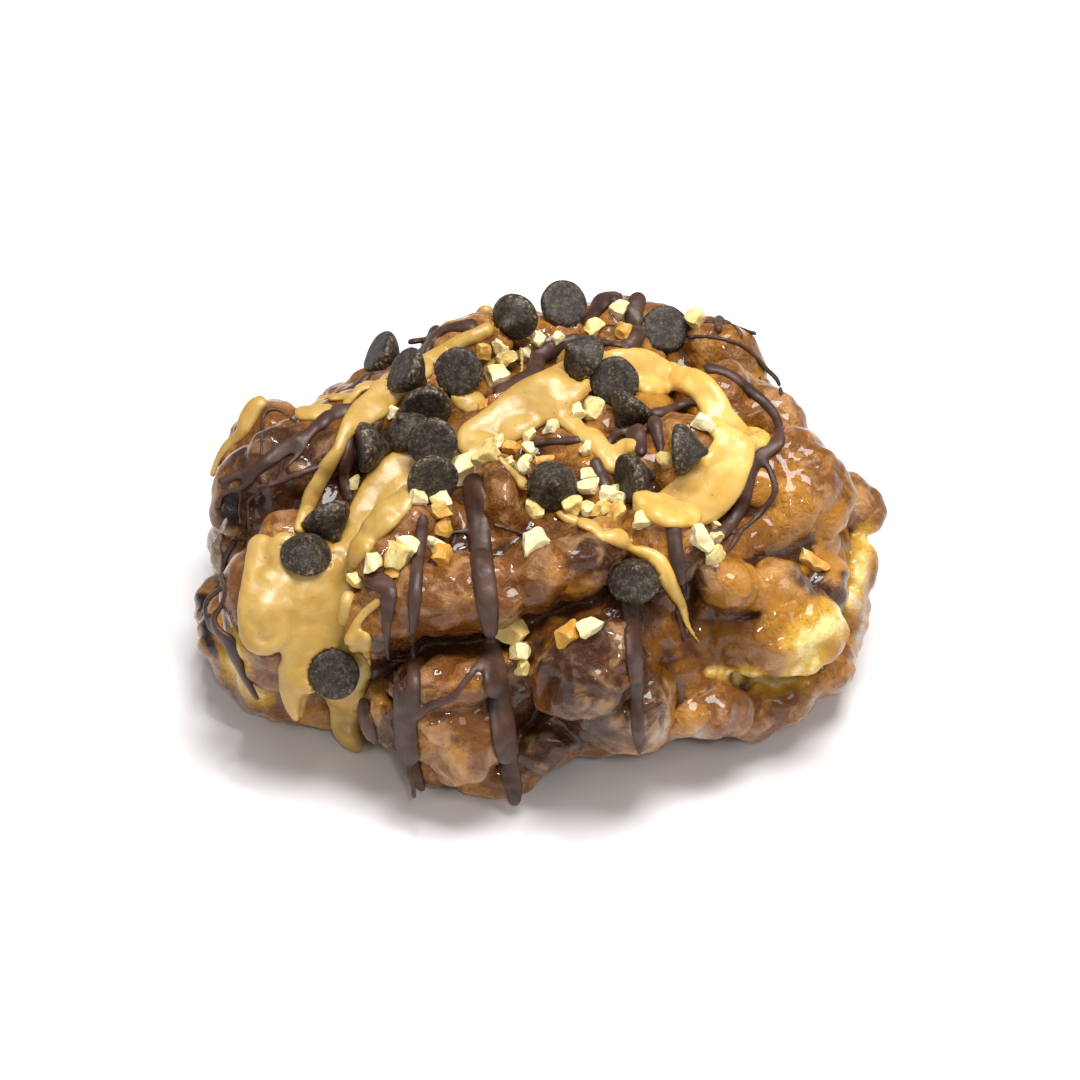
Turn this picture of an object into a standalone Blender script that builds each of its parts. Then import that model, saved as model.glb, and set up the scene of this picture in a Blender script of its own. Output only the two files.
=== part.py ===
"""A glazed fried dough fritter with peanut sauce, chocolate drizzle, chopped nuts and chocolate drops.

Blender 4.5 script, in metres, +Z up. The origin is on the flat spot underneath that the fritter rests on.
What lies on top is laid out as it is seen from one point in front of and above the dough. A place is given
in the steps of a picture grid, STEP wide, on the upright plane through the dough's middle that faces that
point, and is carried along the line of sight until it meets the dough.
"""

import math
import random
from typing import NamedTuple

import bmesh
import bpy
from mathutils import Matrix, Vector, noise
from mathutils.bvhtree import BVHTree
from mathutils.kdtree import KDTree

MM = 0.001

# The point of sight, and the picture grid whose columns run right and rows run down.
STEP = 0.2 * MM
GRID_MIDDLE = (540, 540)
SIGHT_RISE = math.radians(40)
SIGHT_DISTANCE = 620 * MM
MIDDLE = Vector((0, 0, 27 * MM))
RIGHT = Vector((1, 0, 0))
UPWARD = Vector((0, math.sin(SIGHT_RISE), math.cos(SIGHT_RISE)))
TOWARDS = Vector((0, -math.cos(SIGHT_RISE), math.sin(SIGHT_RISE)))
EYE = MIDDLE + TOWARDS * SIGHT_DISTANCE

# The loaf under the folds: its middle, its half sizes, and how square it is below and above, as exponents.
LOAF_MIDDLE = Vector((0, 4, 25)) * MM
LOAF_HALF = Vector((60, 50, 27)) * MM
LOAF_SQUARENESS = (3.2, 2.4)

# The dough's mesh: the grid it is fused on, the relief worked into it, and the triangles it is brought down to.
DOUGH_VOXEL = 1.5 * MM
DOUGH_TRIANGLES = 6500
SMOOTHINGS = 3
TOPPED_TRIANGLES = 9400

# Where the swirl in the dough reads its noise for each axis.
SWIRL_SHIFTS = (Vector((13.8, 10.3, -3.2)), Vector((-9.6, 0.5, -3.8)), Vector((11.4, -7.9, -0.9)))


class Fold(NamedTuple):
    """A lump of dough: its place, how far it stands off the loaf, its half sizes in mm and its turn in degrees."""

    column: float
    row: float
    rise: float
    half_length: float
    half_width: float
    half_depth: float
    turn: float


FOLDS = (
    Fold(266, 447, 0, 10, 7, 8, 55),
    Fold(298, 470, 1, 19, 8.5, 9, 30),
    Fold(350, 434, 0, 10, 7, 8, 30),
    Fold(236, 546, 0, 8, 5.5, 8, 80),
    Fold(243, 653, -1, 12, 6.5, 8, -60),
    Fold(214, 606, -2, 5.5, 4, 6, 40),
    Fold(297, 600, 2, 16, 13, 11, 80),
    Fold(300, 686, 0, 14, 6, 9, -10),
    Fold(405, 545, 1, 11, 8, 8, 40),
    Fold(455, 595, 3, 14, 7, 8, 5),
    Fold(395, 615, 1, 8, 8, 8, 0),
    Fold(560, 565, 3, 13, 6.5, 8, 28),
    Fold(507, 497, 2, 9.5, 4.2, 6, -80),
    Fold(458, 722, 2, 12, 10, 10, 0),
    Fold(450, 682, 1, 11, 5, 7, 10),
    Fold(488, 769, 1, 11, 5, 7, -5),
    Fold(432, 762, 0, 6, 5, 7, 0),
    Fold(546, 748, -1, 9, 5, 7, 20),
    Fold(385, 710, 0, 7, 5, 8, 80),
    Fold(584, 670, 2, 10, 9, 8, 40), Fold(612, 714, 1, 10, 8, 8, -15),
    Fold(640, 700, 1, 10, 5, 8, 90),
    Fold(700, 708, 0, 10, 6, 7, 0),
    Fold(762, 706, 0, 10, 6, 8, 10),
    Fold(763, 622, 0, 17, 11, 9, -15),
    Fold(724, 589, 2, 7, 6, 7, -20),
    Fold(772, 590, 3, 6, 5.5, 7, 0),
    Fold(818, 590, 1, 5, 6, 6, 0),
    Fold(851, 572, 0, 9, 4.5, 6, 80),
    Fold(781, 490, 1, 13, 11, 9, 0),
    Fold(852, 503, 0, 7, 5.5, 7, 0),
    Fold(770, 430, 0, 13, 6, 7, -45),
    Fold(718, 365, 1, 13, 7.5, 8, -25),
    Fold(738, 356, 0, 6.5, 5.5, 6, -30),
    Fold(718, 408, 2, 10, 7, 7, -50),
    Fold(620, 330, 0, 13, 7, 8, 0),
    Fold(535, 345, 0, 12, 7, 8, 10),
    Fold(460, 365, 0, 12, 8, 8, 30),
    Fold(398, 403, 0, 11, 7.5, 8, 40),
    Fold(520, 420, -1, 16, 6, 4.5, 25),
    Fold(612, 374, 1, 12, 7, 8, 15),
    Fold(690, 475, 1, 13, 10, 8, 0),
    Fold(840, 628, -1, 9, 5, 7, 80),
    Fold(792, 677, 0, 13, 5.5, 7, 20),
    Fold(660, 550, 1, 9, 9, 7, 0),
)


class Hollow(NamedTuple):
    """A gap between folds: its place, its half sizes in mm, its turn in degrees and how deep it goes in mm."""

    column: float
    row: float
    half_length: float
    half_width: float
    turn: float
    depth: float


HOLLOWS = (
    Hollow(452, 643, 8, 2.6, 4, 6),
    Hollow(398, 660, 5, 3, 30, 6),
    Hollow(548, 615, 10, 2.5, 25, 3.5),
    Hollow(505, 640, 4, 4, 0, 3),
    Hollow(540, 700, 2.5, 9, -20, 3.5),
    Hollow(690, 660, 6, 7, 0, 2.5),
    Hollow(686, 605, 2.5, 7, 0, 3),
    Hollow(752, 613, 2.5, 1.6, 0, 3.5),
    Hollow(815, 655, 9, 2.2, 35, 2.5),
    Hollow(775, 560, 9, 3, 15, 2.5),
    Hollow(255, 505, 5, 3, 0, 2.5),
    Hollow(340, 500, 3, 8, -30, 2),
    Hollow(530, 500, 3, 5, 0, 3),
    Hollow(440, 530, 4, 4, 0, 3),
    Hollow(640, 440, 7, 4, 0, 2),
    Hollow(670, 345, 10, 2, -20, 2),
    Hollow(505, 395, 10, 2.2, 20, 2),
)


class Stroke(NamedTuple):
    """A run of sauce: its name, then the places it passes with half its width in mm at each."""

    name: str
    path: tuple


CHOCOLATE_STROKES = (
    Stroke("middle band", ((476, 487, 2.4), (480, 550, 2.4), (490, 625, 1.8), (496, 690, 2.4), (510, 768, 2.2),
                           (514, 792, 1.4))),
    Stroke("left band", ((423, 520, 1.2), (416, 590, 1.4), (413, 655, 1.0), (411, 715, 2.0), (411, 755, 2.2),
                         (418, 786, 1.0))),
    Stroke("left band's strand", ((399, 685, 0.9), (402, 725, 1.5), (412, 788, 0.9))),
    Stroke("slanting join", ((485, 660, 1.0), (455, 696, 0.9), (420, 712, 1.1))),
    Stroke("second left band", ((371, 580, 1.6), (388, 592, 1.8), (388, 652, 0.9))),
    Stroke("short drip", ((364, 702, 1.0), (374, 738, 0.9))),
    Stroke("right band", ((629, 600, 1.8), (634, 645, 1.5), (638, 728, 1.4), (640, 752, 0.8))),
    Stroke("second right band", ((674, 530, 1.6), (679, 570, 1.5), (684, 600, 0.8))),
    Stroke("hook", ((708, 368, 1.0), (752, 392, 1.1), (777, 419, 1.1), (780, 440, 1.1), (755, 462, 1.8),
                    (745, 492, 1.7), (731, 525, 1.6), (703, 532, 0.8))),
    Stroke("hook's twin", ((766, 460, 0.9), (774, 488, 0.9), (752, 522, 0.8))),
    Stroke("far right line", ((689, 337, 0.8), (736, 344, 0.8), (768, 371, 0.8), (781, 393, 0.8))),
    Stroke("inner fork", ((700, 403, 1.0), (665, 412, 1.2), (630, 422, 1.4), (612, 440, 1.0))),
    Stroke("inner fork's legs", ((634, 426, 2.0), (643, 450, 1.3), (656, 428, 1.6), (660, 452, 0.8))),
    Stroke("far patch", ((636, 300, 2.2), (635, 328, 2.4), (630, 344, 1.8))),
    Stroke("far arc", ((622, 297, 0.9), (600, 304, 1.4), (587, 323, 1.2))),
    Stroke("far left arc", ((458, 328, 1.0), (434, 338, 1.2), (420, 356, 1.0))),
    Stroke("left arc", ((356, 411, 1.6), (324, 421, 1.6), (284, 447, 1.3), (253, 471, 1.2), (224, 480, 1.0))),
    Stroke("left arc's second", ((314, 432, 0.9), (284, 456, 0.9), (250, 483, 0.9), (222, 497, 0.9))),
    Stroke("left arc's third", ((321, 466, 0.9), (286, 479, 0.9), (257, 487, 0.8))),
    Stroke("behind the left stack", ((352, 432, 1.3), (345, 468, 1.3), (349, 497, 1.3))),
    Stroke("left edge line", ((226, 560, 0.8), (222, 602, 0.8), (212, 628, 0.9), (237, 660, 1.1), (256, 696, 0.8))),
)

PEANUT_STROKES = (
    Stroke("left pool", ((264, 553, 3.2), (266, 590, 5.0), (268, 630, 5.2))),
    Stroke("left pool's body", ((288, 556, 4.0), (304, 600, 7.2), (308, 645, 5.8), (305, 668, 4.8))),
    Stroke("left pool's right side", ((342, 562, 3.4), (335, 612, 3.8), (338, 668, 6.2), (346, 690, 4.6))),
    Stroke("left drip", ((295, 672, 3.4), (293, 700, 1.8), (296, 716, 1.0))),
    Stroke("right drip", ((345, 690, 4.4), (345, 722, 2.8), (356, 745, 1.4))),
    Stroke("side thread", ((350, 642, 1.2), (366, 612, 1.1), (379, 602, 1.0))),
    Stroke("narrow ribbon", ((487, 330, 1.6), (442, 353, 1.6), (396, 385, 2.8), (358, 418, 2.8), (330, 462, 1.6),
                             (303, 522, 1.4))),
    Stroke("broad ribbon", ((430, 465, 5.0), (395, 488, 5.4), (364, 527, 4.2), (352, 555, 2.8), (350, 572, 1.8))),
    Stroke("far edge strand", ((314, 404, 1.0), (347, 398, 1.0), (376, 386, 1.0))),
    Stroke("knob's rim", ((286, 399, 1.0), (252, 411, 1.4), (238, 438, 1.2), (219, 460, 0.9))),
    Stroke("crown", ((475, 438, 4.2), (518, 414, 5.0), (560, 388, 4.6), (600, 366, 3.4))),
    Stroke("loop", ((616, 362, 2.8), (655, 376, 4.0), (698, 385, 3.2), (719, 412, 3.4), (735, 447, 4.0),
                    (714, 490, 5.0), (680, 508, 4.2), (642, 500, 1.8))),
    Stroke("slanting strand", ((560, 415, 1.6), (594, 441, 2.0), (616, 463, 2.2), (634, 445, 1.4))),
    Stroke("lower strand", ((562, 515, 1.1), (602, 536, 1.4), (622, 541, 1.6), (658, 562, 2.0), (676, 594, 1.4),
                            (697, 638, 0.9))),
    Stroke("far blob", ((532, 300, 2.2), (521, 372, 0.9))),
)

# How far sauce stands off the dough, at most; the reach over which it bridges the creases under it, and how
# deep a crease it bridges; and how far the dough falls back below a drip that hangs.
PEANUT_THICKNESS = 1.35 * MM
CHOCOLATE_THICKNESS = 1.1 * MM
BRIDGE = 3 * MM
BRIDGE_DROP = 4.5 * MM
HANG_DROP = 12 * MM
SAUCE_VOXEL = 0.75 * MM
PEANUT_TRIANGLES = 2400
CHOCOLATE_TRIANGLES = 2200


class Crumb(NamedTuple):
    """A piece of chopped peanut: its place, and how wide it is in mm."""

    column: float
    row: float
    width: float


CRUMBS = (
    Crumb(482, 349, 2.8),
    Crumb(503, 359, 3.2),
    Crumb(498, 379, 4.2),
    Crumb(525, 353, 3.0),
    Crumb(538, 341, 2.6),
    Crumb(618, 310, 3.6),
    Crumb(593, 331, 3.0),
    Crumb(625, 333, 3.0),
    Crumb(696, 323, 3.8),
    Crumb(594, 412, 4.4),
    Crumb(552, 429, 3.0),
    Crumb(528, 437, 2.6),
    Crumb(490, 459, 4.0),
    Crumb(513, 449, 2.8),
    Crumb(522, 469, 3.0),
    Crumb(465, 474, 5.2),
    Crumb(418, 502, 3.0),
    Crumb(440, 507, 3.8),
    Crumb(439, 527, 2.8),
    Crumb(436, 547, 3.6),
    Crumb(446, 558, 3.4),
    Crumb(407, 546, 3.2),
    Crumb(396, 557, 4.4),
    Crumb(373, 562, 2.8),
    Crumb(394, 575, 3.4),
    Crumb(358, 578, 2.8),
    Crumb(536, 545, 4.4),
    Crumb(533, 514, 3.6),
    Crumb(589, 476, 2.8),
    Crumb(599, 496, 5.0),
    Crumb(572, 508, 4.0),
    Crumb(602, 514, 2.8),
    Crumb(622, 518, 4.0),
    Crumb(644, 520, 3.0),
    Crumb(586, 452, 2.6),
    Crumb(667, 461, 2.8),
    Crumb(701, 424, 3.2),
    Crumb(702, 541, 4.2),
    Crumb(710, 556, 4.4),
    Crumb(514, 631, 5.0),
    Crumb(521, 654, 3.4),
    Crumb(521, 668, 2.8),
    Crumb(569, 636, 4.0),
    Crumb(590, 629, 4.2),
    Crumb(812, 561, 5.0),
)


class Drop(NamedTuple):
    """A chocolate drop: its place, how far its tip leans from the eye, and which way it leans, in degrees."""

    column: float
    row: float
    lean: float
    heading: float


DROPS = (
    Drop(561, 306, 165, 200),
    Drop(511, 321, 40, 230),
    Drop(663, 330, 170, 200),
    Drop(614, 380, 172, 90),
    Drop(627, 413, 90, 235),
    Drop(577, 353, 55, 150),
    Drop(691, 449, 80, 2),
    Drop(639, 477, 115, 10),
    Drop(553, 484, 10, 60),
    Drop(634, 575, 35, 90),
    Drop(460, 370, 170, 60),
    Drop(388, 357, 113, -28),
    Drop(413, 375, 118, -30),
    Drop(427, 401, 140, 90),
    Drop(406, 425, 50, 110),
    Drop(435, 441, 165, 45),
    Drop(375, 447, 102, 4),
    Drop(430, 475, 150, 120),
    Drop(331, 526, 75, -62),
    Drop(307, 547, 45, 80),
    Drop(336, 673, 174, 30),
)

# A drop's outline: its radius at each height above its base, and the number of sides it is turned with.
DROP_OUTLINE = ((4.4, 0), (4.9, 0.9), (4.5, 2.3), (3.0, 4.2), (1.1, 5.6))
DROP_HEIGHT = 6.4 * MM
DROP_SIDES = 10
DROP_GAP = 0.3 * MM
POCKET_MARGIN = 0.5 * MM
# How deep a drop sits in what is under it when its base, its side or its tip is pressed in, and how deep the
# rim of its base sits when its tip is pressed in.
SINK_BASE = 1.2 * MM
SINK_SIDE = 1.8 * MM
SINK_TIP = 3.2 * MM
SINK_RIM = 0.7 * MM


def place_on_grid(column, row):
    """The point of the picture grid at this column and row."""
    across = (column - GRID_MIDDLE[0]) * STEP
    up = (GRID_MIDDLE[1] - row) * STEP
    return MIDDLE + RIGHT * across + UPWARD * up


def sight_line(column, row):
    """The direction from the point of sight through a place on the grid."""
    return (place_on_grid(column, row) - EYE).normalized()


def grid_place(point):
    """The column and row at which a point is seen."""
    ray = point - EYE
    on_plane = EYE + ray * (SIGHT_DISTANCE / -ray.dot(TOWARDS))
    offset = on_plane - MIDDLE
    return GRID_MIDDLE[0] + offset.dot(RIGHT) / STEP, GRID_MIDDLE[1] - offset.dot(UPWARD) / STEP


def facing_frame(turn):
    """Axes in the picture plane, the first turned from the right by turn degrees, and the third facing the eye."""
    angle = math.radians(turn)
    along = RIGHT * math.cos(angle) + UPWARD * math.sin(angle)
    across = UPWARD * math.cos(angle) - RIGHT * math.sin(angle)
    return Matrix((along, across, TOWARDS)).transposed()


def add_ball(mesh, place, axes, half_sizes, subdivisions=3):
    """Adds an ellipsoid of these half sizes along these axes."""
    stretch = Matrix.Diagonal(half_sizes).to_4x4()
    matrix = Matrix.Translation(place) @ axes.to_4x4() @ stretch
    bmesh.ops.create_icosphere(mesh, subdivisions=subdivisions, radius=1, matrix=matrix)


def mesh_object(name, mesh):
    """A new object of this bmesh, linked to the scene."""
    data = bpy.data.meshes.new(name)
    mesh.to_mesh(data)
    mesh.free()
    made = bpy.data.objects.new(name, data)
    bpy.context.scene.collection.objects.link(made)
    return made


def apply_modifiers(made):
    """Replaces the object's mesh by what its modifiers make of it."""
    graph = bpy.context.evaluated_depsgraph_get()
    graph.update()
    data = bpy.data.meshes.new_from_object(made.evaluated_get(graph))
    made.modifiers.clear()
    old = made.data
    made.data = data
    bpy.data.meshes.remove(old)


def fuse(made, voxel, smoothings):
    """Makes one closed skin of overlapping balls, and smooths it."""
    remesh = made.modifiers.new("fuse", "REMESH")
    remesh.mode = "VOXEL"
    remesh.voxel_size = voxel
    smooth = made.modifiers.new("soften", "SMOOTH")
    smooth.factor = 0.5
    smooth.iterations = smoothings
    apply_modifiers(made)


def thin_out(made, triangles):
    """Brings the mesh down to about this many triangles."""
    made.data.calc_loop_triangles()
    decimate = made.modifiers.new("thin out", "DECIMATE")
    decimate.ratio = min(1.0, triangles / len(made.data.loop_triangles))
    decimate.use_collapse_triangulate = True
    apply_modifiers(made)


def rim_folds():
    """Folds round the far side, in two rows that follow one another along the loaf's rim, uneven in size."""
    draw = random.Random(7)
    for lift, spread, largest in ((-6, 1.0, 13), (5, 0.92, 10.5)):
        for turn in range(15, 175, 19):
            angle = math.radians(turn + lift + draw.uniform(-4, 4))
            rim = Vector((math.cos(angle) * LOAF_HALF.x, math.sin(angle) * LOAF_HALF.y, 0)) * spread
            level = LOAF_MIDDLE + Vector((0, 0, lift + draw.uniform(-5, 5))) * MM
            size = Vector((largest, largest * 0.62, largest * 0.75)) * draw.uniform(0.75, 1.0) * MM
            axes = Matrix.Rotation(angle + math.pi / 2, 3, "Z") @ Matrix.Rotation(draw.uniform(-0.5, 0.5), 3, "Y")
            yield level + rim, axes, size


def relief(point):
    """How far the dough's skin stands out at a point: rounded lumps with creases between, and smaller crinkles."""
    lumps = 2 * abs(noise.noise(point / (11 * MM))) - 0.5
    crinkles = 2 * abs(noise.noise(point / (4.5 * MM) + Vector((5, 9, 2)))) - 0.5
    return (0.7 + lumps * 1.7 + crinkles * 0.6) * MM * off_the_ground(point)


def off_the_ground(point):
    """Nothing at the flat underside, rising to 1 over the next few millimetres."""
    return min(1.0, max(0.0, point.z / (5 * MM)))


def bent(point):
    """The point moved by a slow swirl, so that no fold stays a plain ellipsoid."""
    place = point / (17 * MM)
    swirl = Vector([noise.noise(place + shift) for shift in SWIRL_SHIFTS])
    return point + swirl * 3.0 * MM * off_the_ground(point)


def hollow_depth(point):
    """How far a point of the near side is pressed away from the eye by the gaps between the folds."""
    column, row = grid_place(point)
    pressed = 0.0
    for gap in HOLLOWS:
        angle = math.radians(gap.turn)
        right = (column - gap.column) * STEP
        up = (gap.row - row) * STEP
        along = (right * math.cos(angle) + up * math.sin(angle)) / (gap.half_length * MM)
        across = (up * math.cos(angle) - right * math.sin(angle)) / (gap.half_width * MM)
        reach = along * along + across * across
        if reach < 4:
            pressed += gap.depth * MM * math.exp(-1.5 * reach)
    return pressed


def make_loaf():
    """The loaf under the folds: an ellipsoid made squarer, more so below, so that it sits broadly."""
    loaf = bmesh.new()
    add_ball(loaf, Vector(), Matrix.Identity(3), Vector((1, 1, 1)), subdivisions=5)
    for vertex in loaf.verts:
        power = LOAF_SQUARENESS[vertex.co.z > 0]
        vertex.co *= (vertex.co.xy.length ** power + abs(vertex.co.z) ** power) ** (-1 / power)
        vertex.co = LOAF_MIDDLE + vertex.co * LOAF_HALF
    return loaf


def seat_on_loaf(column, row, tree):
    """Where the line of sight meets the loaf, or passes nearest to it beside its outline."""
    direction = sight_line(column, row)
    place, _, _, _ = tree.ray_cast(EYE, direction)
    if place is not None:
        return place
    steps = [EYE + direction * (SIGHT_DISTANCE + step * MM) for step in range(-80, 81, 2)]
    return min(steps, key=lambda point: tree.find_nearest(point)[3])


def make_dough():
    """The fried dough without its toppings: folds fused on a loaf, worked with relief."""
    mesh = make_loaf()
    tree = BVHTree.FromBMesh(mesh)
    for fold in FOLDS:
        place = seat_on_loaf(fold.column, fold.row, tree) + TOWARDS * fold.rise * MM
        half = Vector((fold.half_length, fold.half_width, fold.half_depth)) * MM
        add_ball(mesh, place, facing_frame(fold.turn), half)
    for place, axes, half in rim_folds():
        add_ball(mesh, place, axes, half)
    for vertex in mesh.verts:
        vertex.co = bent(vertex.co)
    dough = mesh_object("dough", mesh)
    fuse(dough, DOUGH_VOXEL, SMOOTHINGS)
    worked = bmesh.new()
    worked.from_mesh(dough.data)
    worked.normal_update()
    for vertex in worked.verts:
        near_side = max(0.0, vertex.normal.dot(TOWARDS))
        pressed = hollow_depth(vertex.co) * min(1.0, near_side * 3)
        vertex.co += vertex.normal * relief(vertex.co) - TOWARDS * pressed
    worked.to_mesh(dough.data)
    worked.free()
    return dough


def surface_tree(objects):
    """A search tree over the faces of these objects."""
    points = []
    faces = []
    for made in objects:
        first = len(points)
        points.extend(vertex.co.copy() for vertex in made.data.vertices)
        faces.extend([first + index for index in face.vertices] for face in made.data.polygons)
    return BVHTree.FromPolygons(points, faces)


def seen_spot(column, row, tree):
    """Where the surface is seen at a place, or, beside the outline, at the nearest place under it."""
    place = None
    while place is None:
        place, normal, _, distance = tree.ray_cast(EYE, sight_line(column, row))
        row += 4
    return place, normal, distance


class Seat(NamedTuple):
    """A spot on the dough for a bead of sauce: its place, its distance from the eye, and the skin's normal."""

    column: float
    row: float
    radius: float
    distance: float
    normal: Vector


def smooth_path(path, spacing):
    """Places along a smooth curve through a path's points, about spacing apart, each with its half width."""
    ends = [path[0]] + list(path) + [path[-1]]
    for i in range(1, len(ends) - 2):
        before, start, stop, after = (Vector(point) for point in ends[i - 1:i + 3])
        length = (stop.xy - start.xy).length * STEP
        parts = max(1, round(length / spacing))
        for part in range(parts):
            t = part / parts
            bend = (stop - before) * t
            bend += (before * 2 - start * 5 + stop * 4 - after) * t * t
            bend += (start * 3 - before - stop * 3 + after) * t * t * t
            yield start + bend / 2
    yield Vector(path[-1])


def bead_places(path, radius, spacing):
    """Places of the beads that fill a stroke to its edges, as columns, rows and radii."""
    along = list(smooth_path(path, spacing))
    for i, place in enumerate(along):
        heading = (along[min(i + 1, len(along) - 1)] - along[max(i - 1, 0)]).xy.normalized()
        half_width = place.z * MM
        size = min(radius, half_width)
        reach = half_width - size
        count = math.ceil(reach / spacing)
        for k in range(-count, count + 1):
            side = reach * k / max(count, 1) / STEP
            yield place.x - heading.y * side, place.y + heading.x * side, size
        if i in (0, len(along) - 1) and count:
            outward = -1 if i == 0 else 1
            for turn in range(-60, 61, 30):
                angle = math.atan2(heading.y * outward, heading.x * outward) + math.radians(turn)
                far = reach / STEP
                yield place.x + math.cos(angle) * far, place.y + math.sin(angle) * far, size


def seat_beads(places, tree):
    """Casts bead places along their lines of sight onto what the tree holds, and lets the last of a drip hang."""
    seats = []
    for column, row, radius in places:
        _, normal, _, distance = tree.ray_cast(EYE, sight_line(column, row))
        if seats:
            last = seats[-1]
            below = row > last.row and normal is not None and distance > last.distance + HANG_DROP
            if normal is None or below:
                distance, normal = last.distance, last.normal
        if normal is not None:
            seats.append(Seat(column, row, radius, distance, normal))
    return seats


def bridge_creases(seats):
    """Moves seats over a narrow crease out to the level of those round them."""
    spots = KDTree(len(seats))
    for index, seat in enumerate(seats):
        spots.insert((seat.column * STEP, seat.row * STEP, 0), index)
    spots.balance()
    for seat in seats:
        found = spots.find_range((seat.column * STEP, seat.row * STEP, 0), BRIDGE)
        near = [seats[index] for _, index, _ in found if abs(seats[index].distance - seat.distance) < BRIDGE_DROP]
        level = sum(other.distance for other in near) / len(near)
        normal = sum((other.normal for other in near), Vector()).normalized()
        yield seat._replace(distance=min(seat.distance, level), normal=normal)


def add_bead(mesh, seat, thickness):
    """Adds a bead of sauce, flattened onto the skin and as wide as its seat says when seen from the eye."""
    direction = sight_line(seat.column, seat.row)
    place = EYE + direction * seat.distance
    normal = seat.normal
    level = normal.cross(direction)
    if level.length < 0.05:
        level = RIGHT.copy()
    level.normalize()
    slope = normal.cross(level)
    facing = max(0.4, abs(normal.dot(direction)))
    half_height = min(0.8 * seat.radius, thickness)
    half_sizes = Vector((seat.radius, min(seat.radius / facing, seat.radius * 2), half_height))
    add_ball(mesh, place + normal * 0.1 * MM, Matrix((level, slope, normal)).transposed(), half_sizes, 2)


def make_sauce(name, strokes, tree, thickness, triangles):
    """One kind of sauce: its strokes laid over the dough and fused."""
    whole = bmesh.new()
    for stroke in strokes:
        laid = bmesh.new()
        places = bead_places(stroke.path, 2.0 * MM, 1.2 * MM)
        for seat in bridge_creases(seat_beads(places, tree)):
            add_bead(laid, seat, thickness)
        data = bpy.data.meshes.new(stroke.name)
        laid.to_mesh(data)
        laid.free()
        whole.from_mesh(data)
        bpy.data.meshes.remove(data)
    sauce = mesh_object(name, whole)
    fuse(sauce, SAUCE_VOXEL, 2)
    thin_out(sauce, triangles)
    return sauce


def make_crumbs(tree):
    """The chopped peanuts: rough lumps that lie flat on what is under them."""
    draw = random.Random(23)
    mesh = bmesh.new()
    for crumb in CRUMBS:
        place, normal, _ = seen_spot(crumb.column, crumb.row, tree)
        half = crumb.width * MM / 2
        spin = Matrix.Rotation(draw.uniform(0, math.tau), 3, "Z")
        axes = normal.to_track_quat("Z", "Y").to_matrix() @ spin
        first = len(mesh.verts)
        half_sizes = Vector((half * 1.15, half * 0.9, half * 0.75))
        add_ball(mesh, place + normal * half * 0.4, axes, half_sizes, subdivisions=1)
        mesh.verts.ensure_lookup_table()
        for vertex in mesh.verts[first:]:
            jolt = Vector([draw.uniform(-1, 1) for _ in range(3)])
            vertex.co += jolt * half * 0.16
    return mesh_object("crumbs", mesh)


def join_all(body, others, operation):
    """Joins the others to the body, or cuts them from it, with one Boolean on a collection, and removes them."""
    group = bpy.data.collections.new(operation.lower())
    for other in others:
        group.objects.link(other)
    boolean = body.modifiers.new(operation.lower(), "BOOLEAN")
    boolean.operation = operation
    boolean.operand_type = "COLLECTION"
    boolean.collection = group
    boolean.solver = "EXACT"
    boolean.use_self = True
    apply_modifiers(body)
    for other in others:
        bpy.data.objects.remove(other, do_unlink=True)
    bpy.data.collections.remove(group)


def turned_drop(name, swell):
    """A drop with its base at the origin and its tip up, or that shape swollen by a margin all round."""
    mesh = bmesh.new()
    corners = [Vector((0, 0, -swell))]
    for radius, height in DROP_OUTLINE:
        level = height * MM
        level += swell * (2 * level / DROP_HEIGHT - 1)
        corners.append(Vector((radius * MM + swell, 0, level)))
    corners.append(Vector((0, 0, DROP_HEIGHT + swell + 0.25 * MM)))
    outline = [mesh.verts.new(corner) for corner in corners]
    edges = [mesh.edges.new(pair) for pair in zip(outline, outline[1:])]
    bmesh.ops.spin(
        mesh, geom=edges, cent=(0, 0, 0), axis=(0, 0, 1), angle=math.tau, steps=DROP_SIDES, use_merge=True
    )
    bmesh.ops.remove_doubles(mesh, verts=mesh.verts, dist=0.01 * MM)
    bmesh.ops.recalc_face_normals(mesh, faces=mesh.faces)
    return mesh_object(name, mesh)


def drop_axes(drop):
    """The axes of a drop, with the third along its tip."""
    lean = math.radians(drop.lean)
    heading = math.radians(drop.heading)
    tip = TOWARDS * math.cos(lean)
    tip += (RIGHT * math.cos(heading) + UPWARD * math.sin(heading)) * math.sin(lean)
    return tip.to_track_quat("Z", "Y").to_matrix()


def is_inside(point, tree):
    """Whether a point lies inside what the tree holds: a ray from it first leaves the surface from within."""
    _, normal, _, _ = tree.ray_cast(point, TOWARDS)
    return normal is not None and normal.dot(TOWARDS) > 0


def depth_in(points, tree):
    """How deep the deepest of these points lies inside what the tree holds, or nothing if all are clear."""
    return max((tree.find_nearest(point)[3] for point in points if is_inside(point, tree)), default=0.0)


def too_close(points, own, placed):
    """Whether a drop, given by its points and their tree, comes within the gap of one that is placed."""
    margin = DROP_GAP + 0.05 * MM
    for tree, corners in placed:
        for here, there in ((points, tree), (corners, own)):
            if any(there.find_nearest(point, margin)[0] or is_inside(point, there) for point in here):
                return True
    return False


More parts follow.
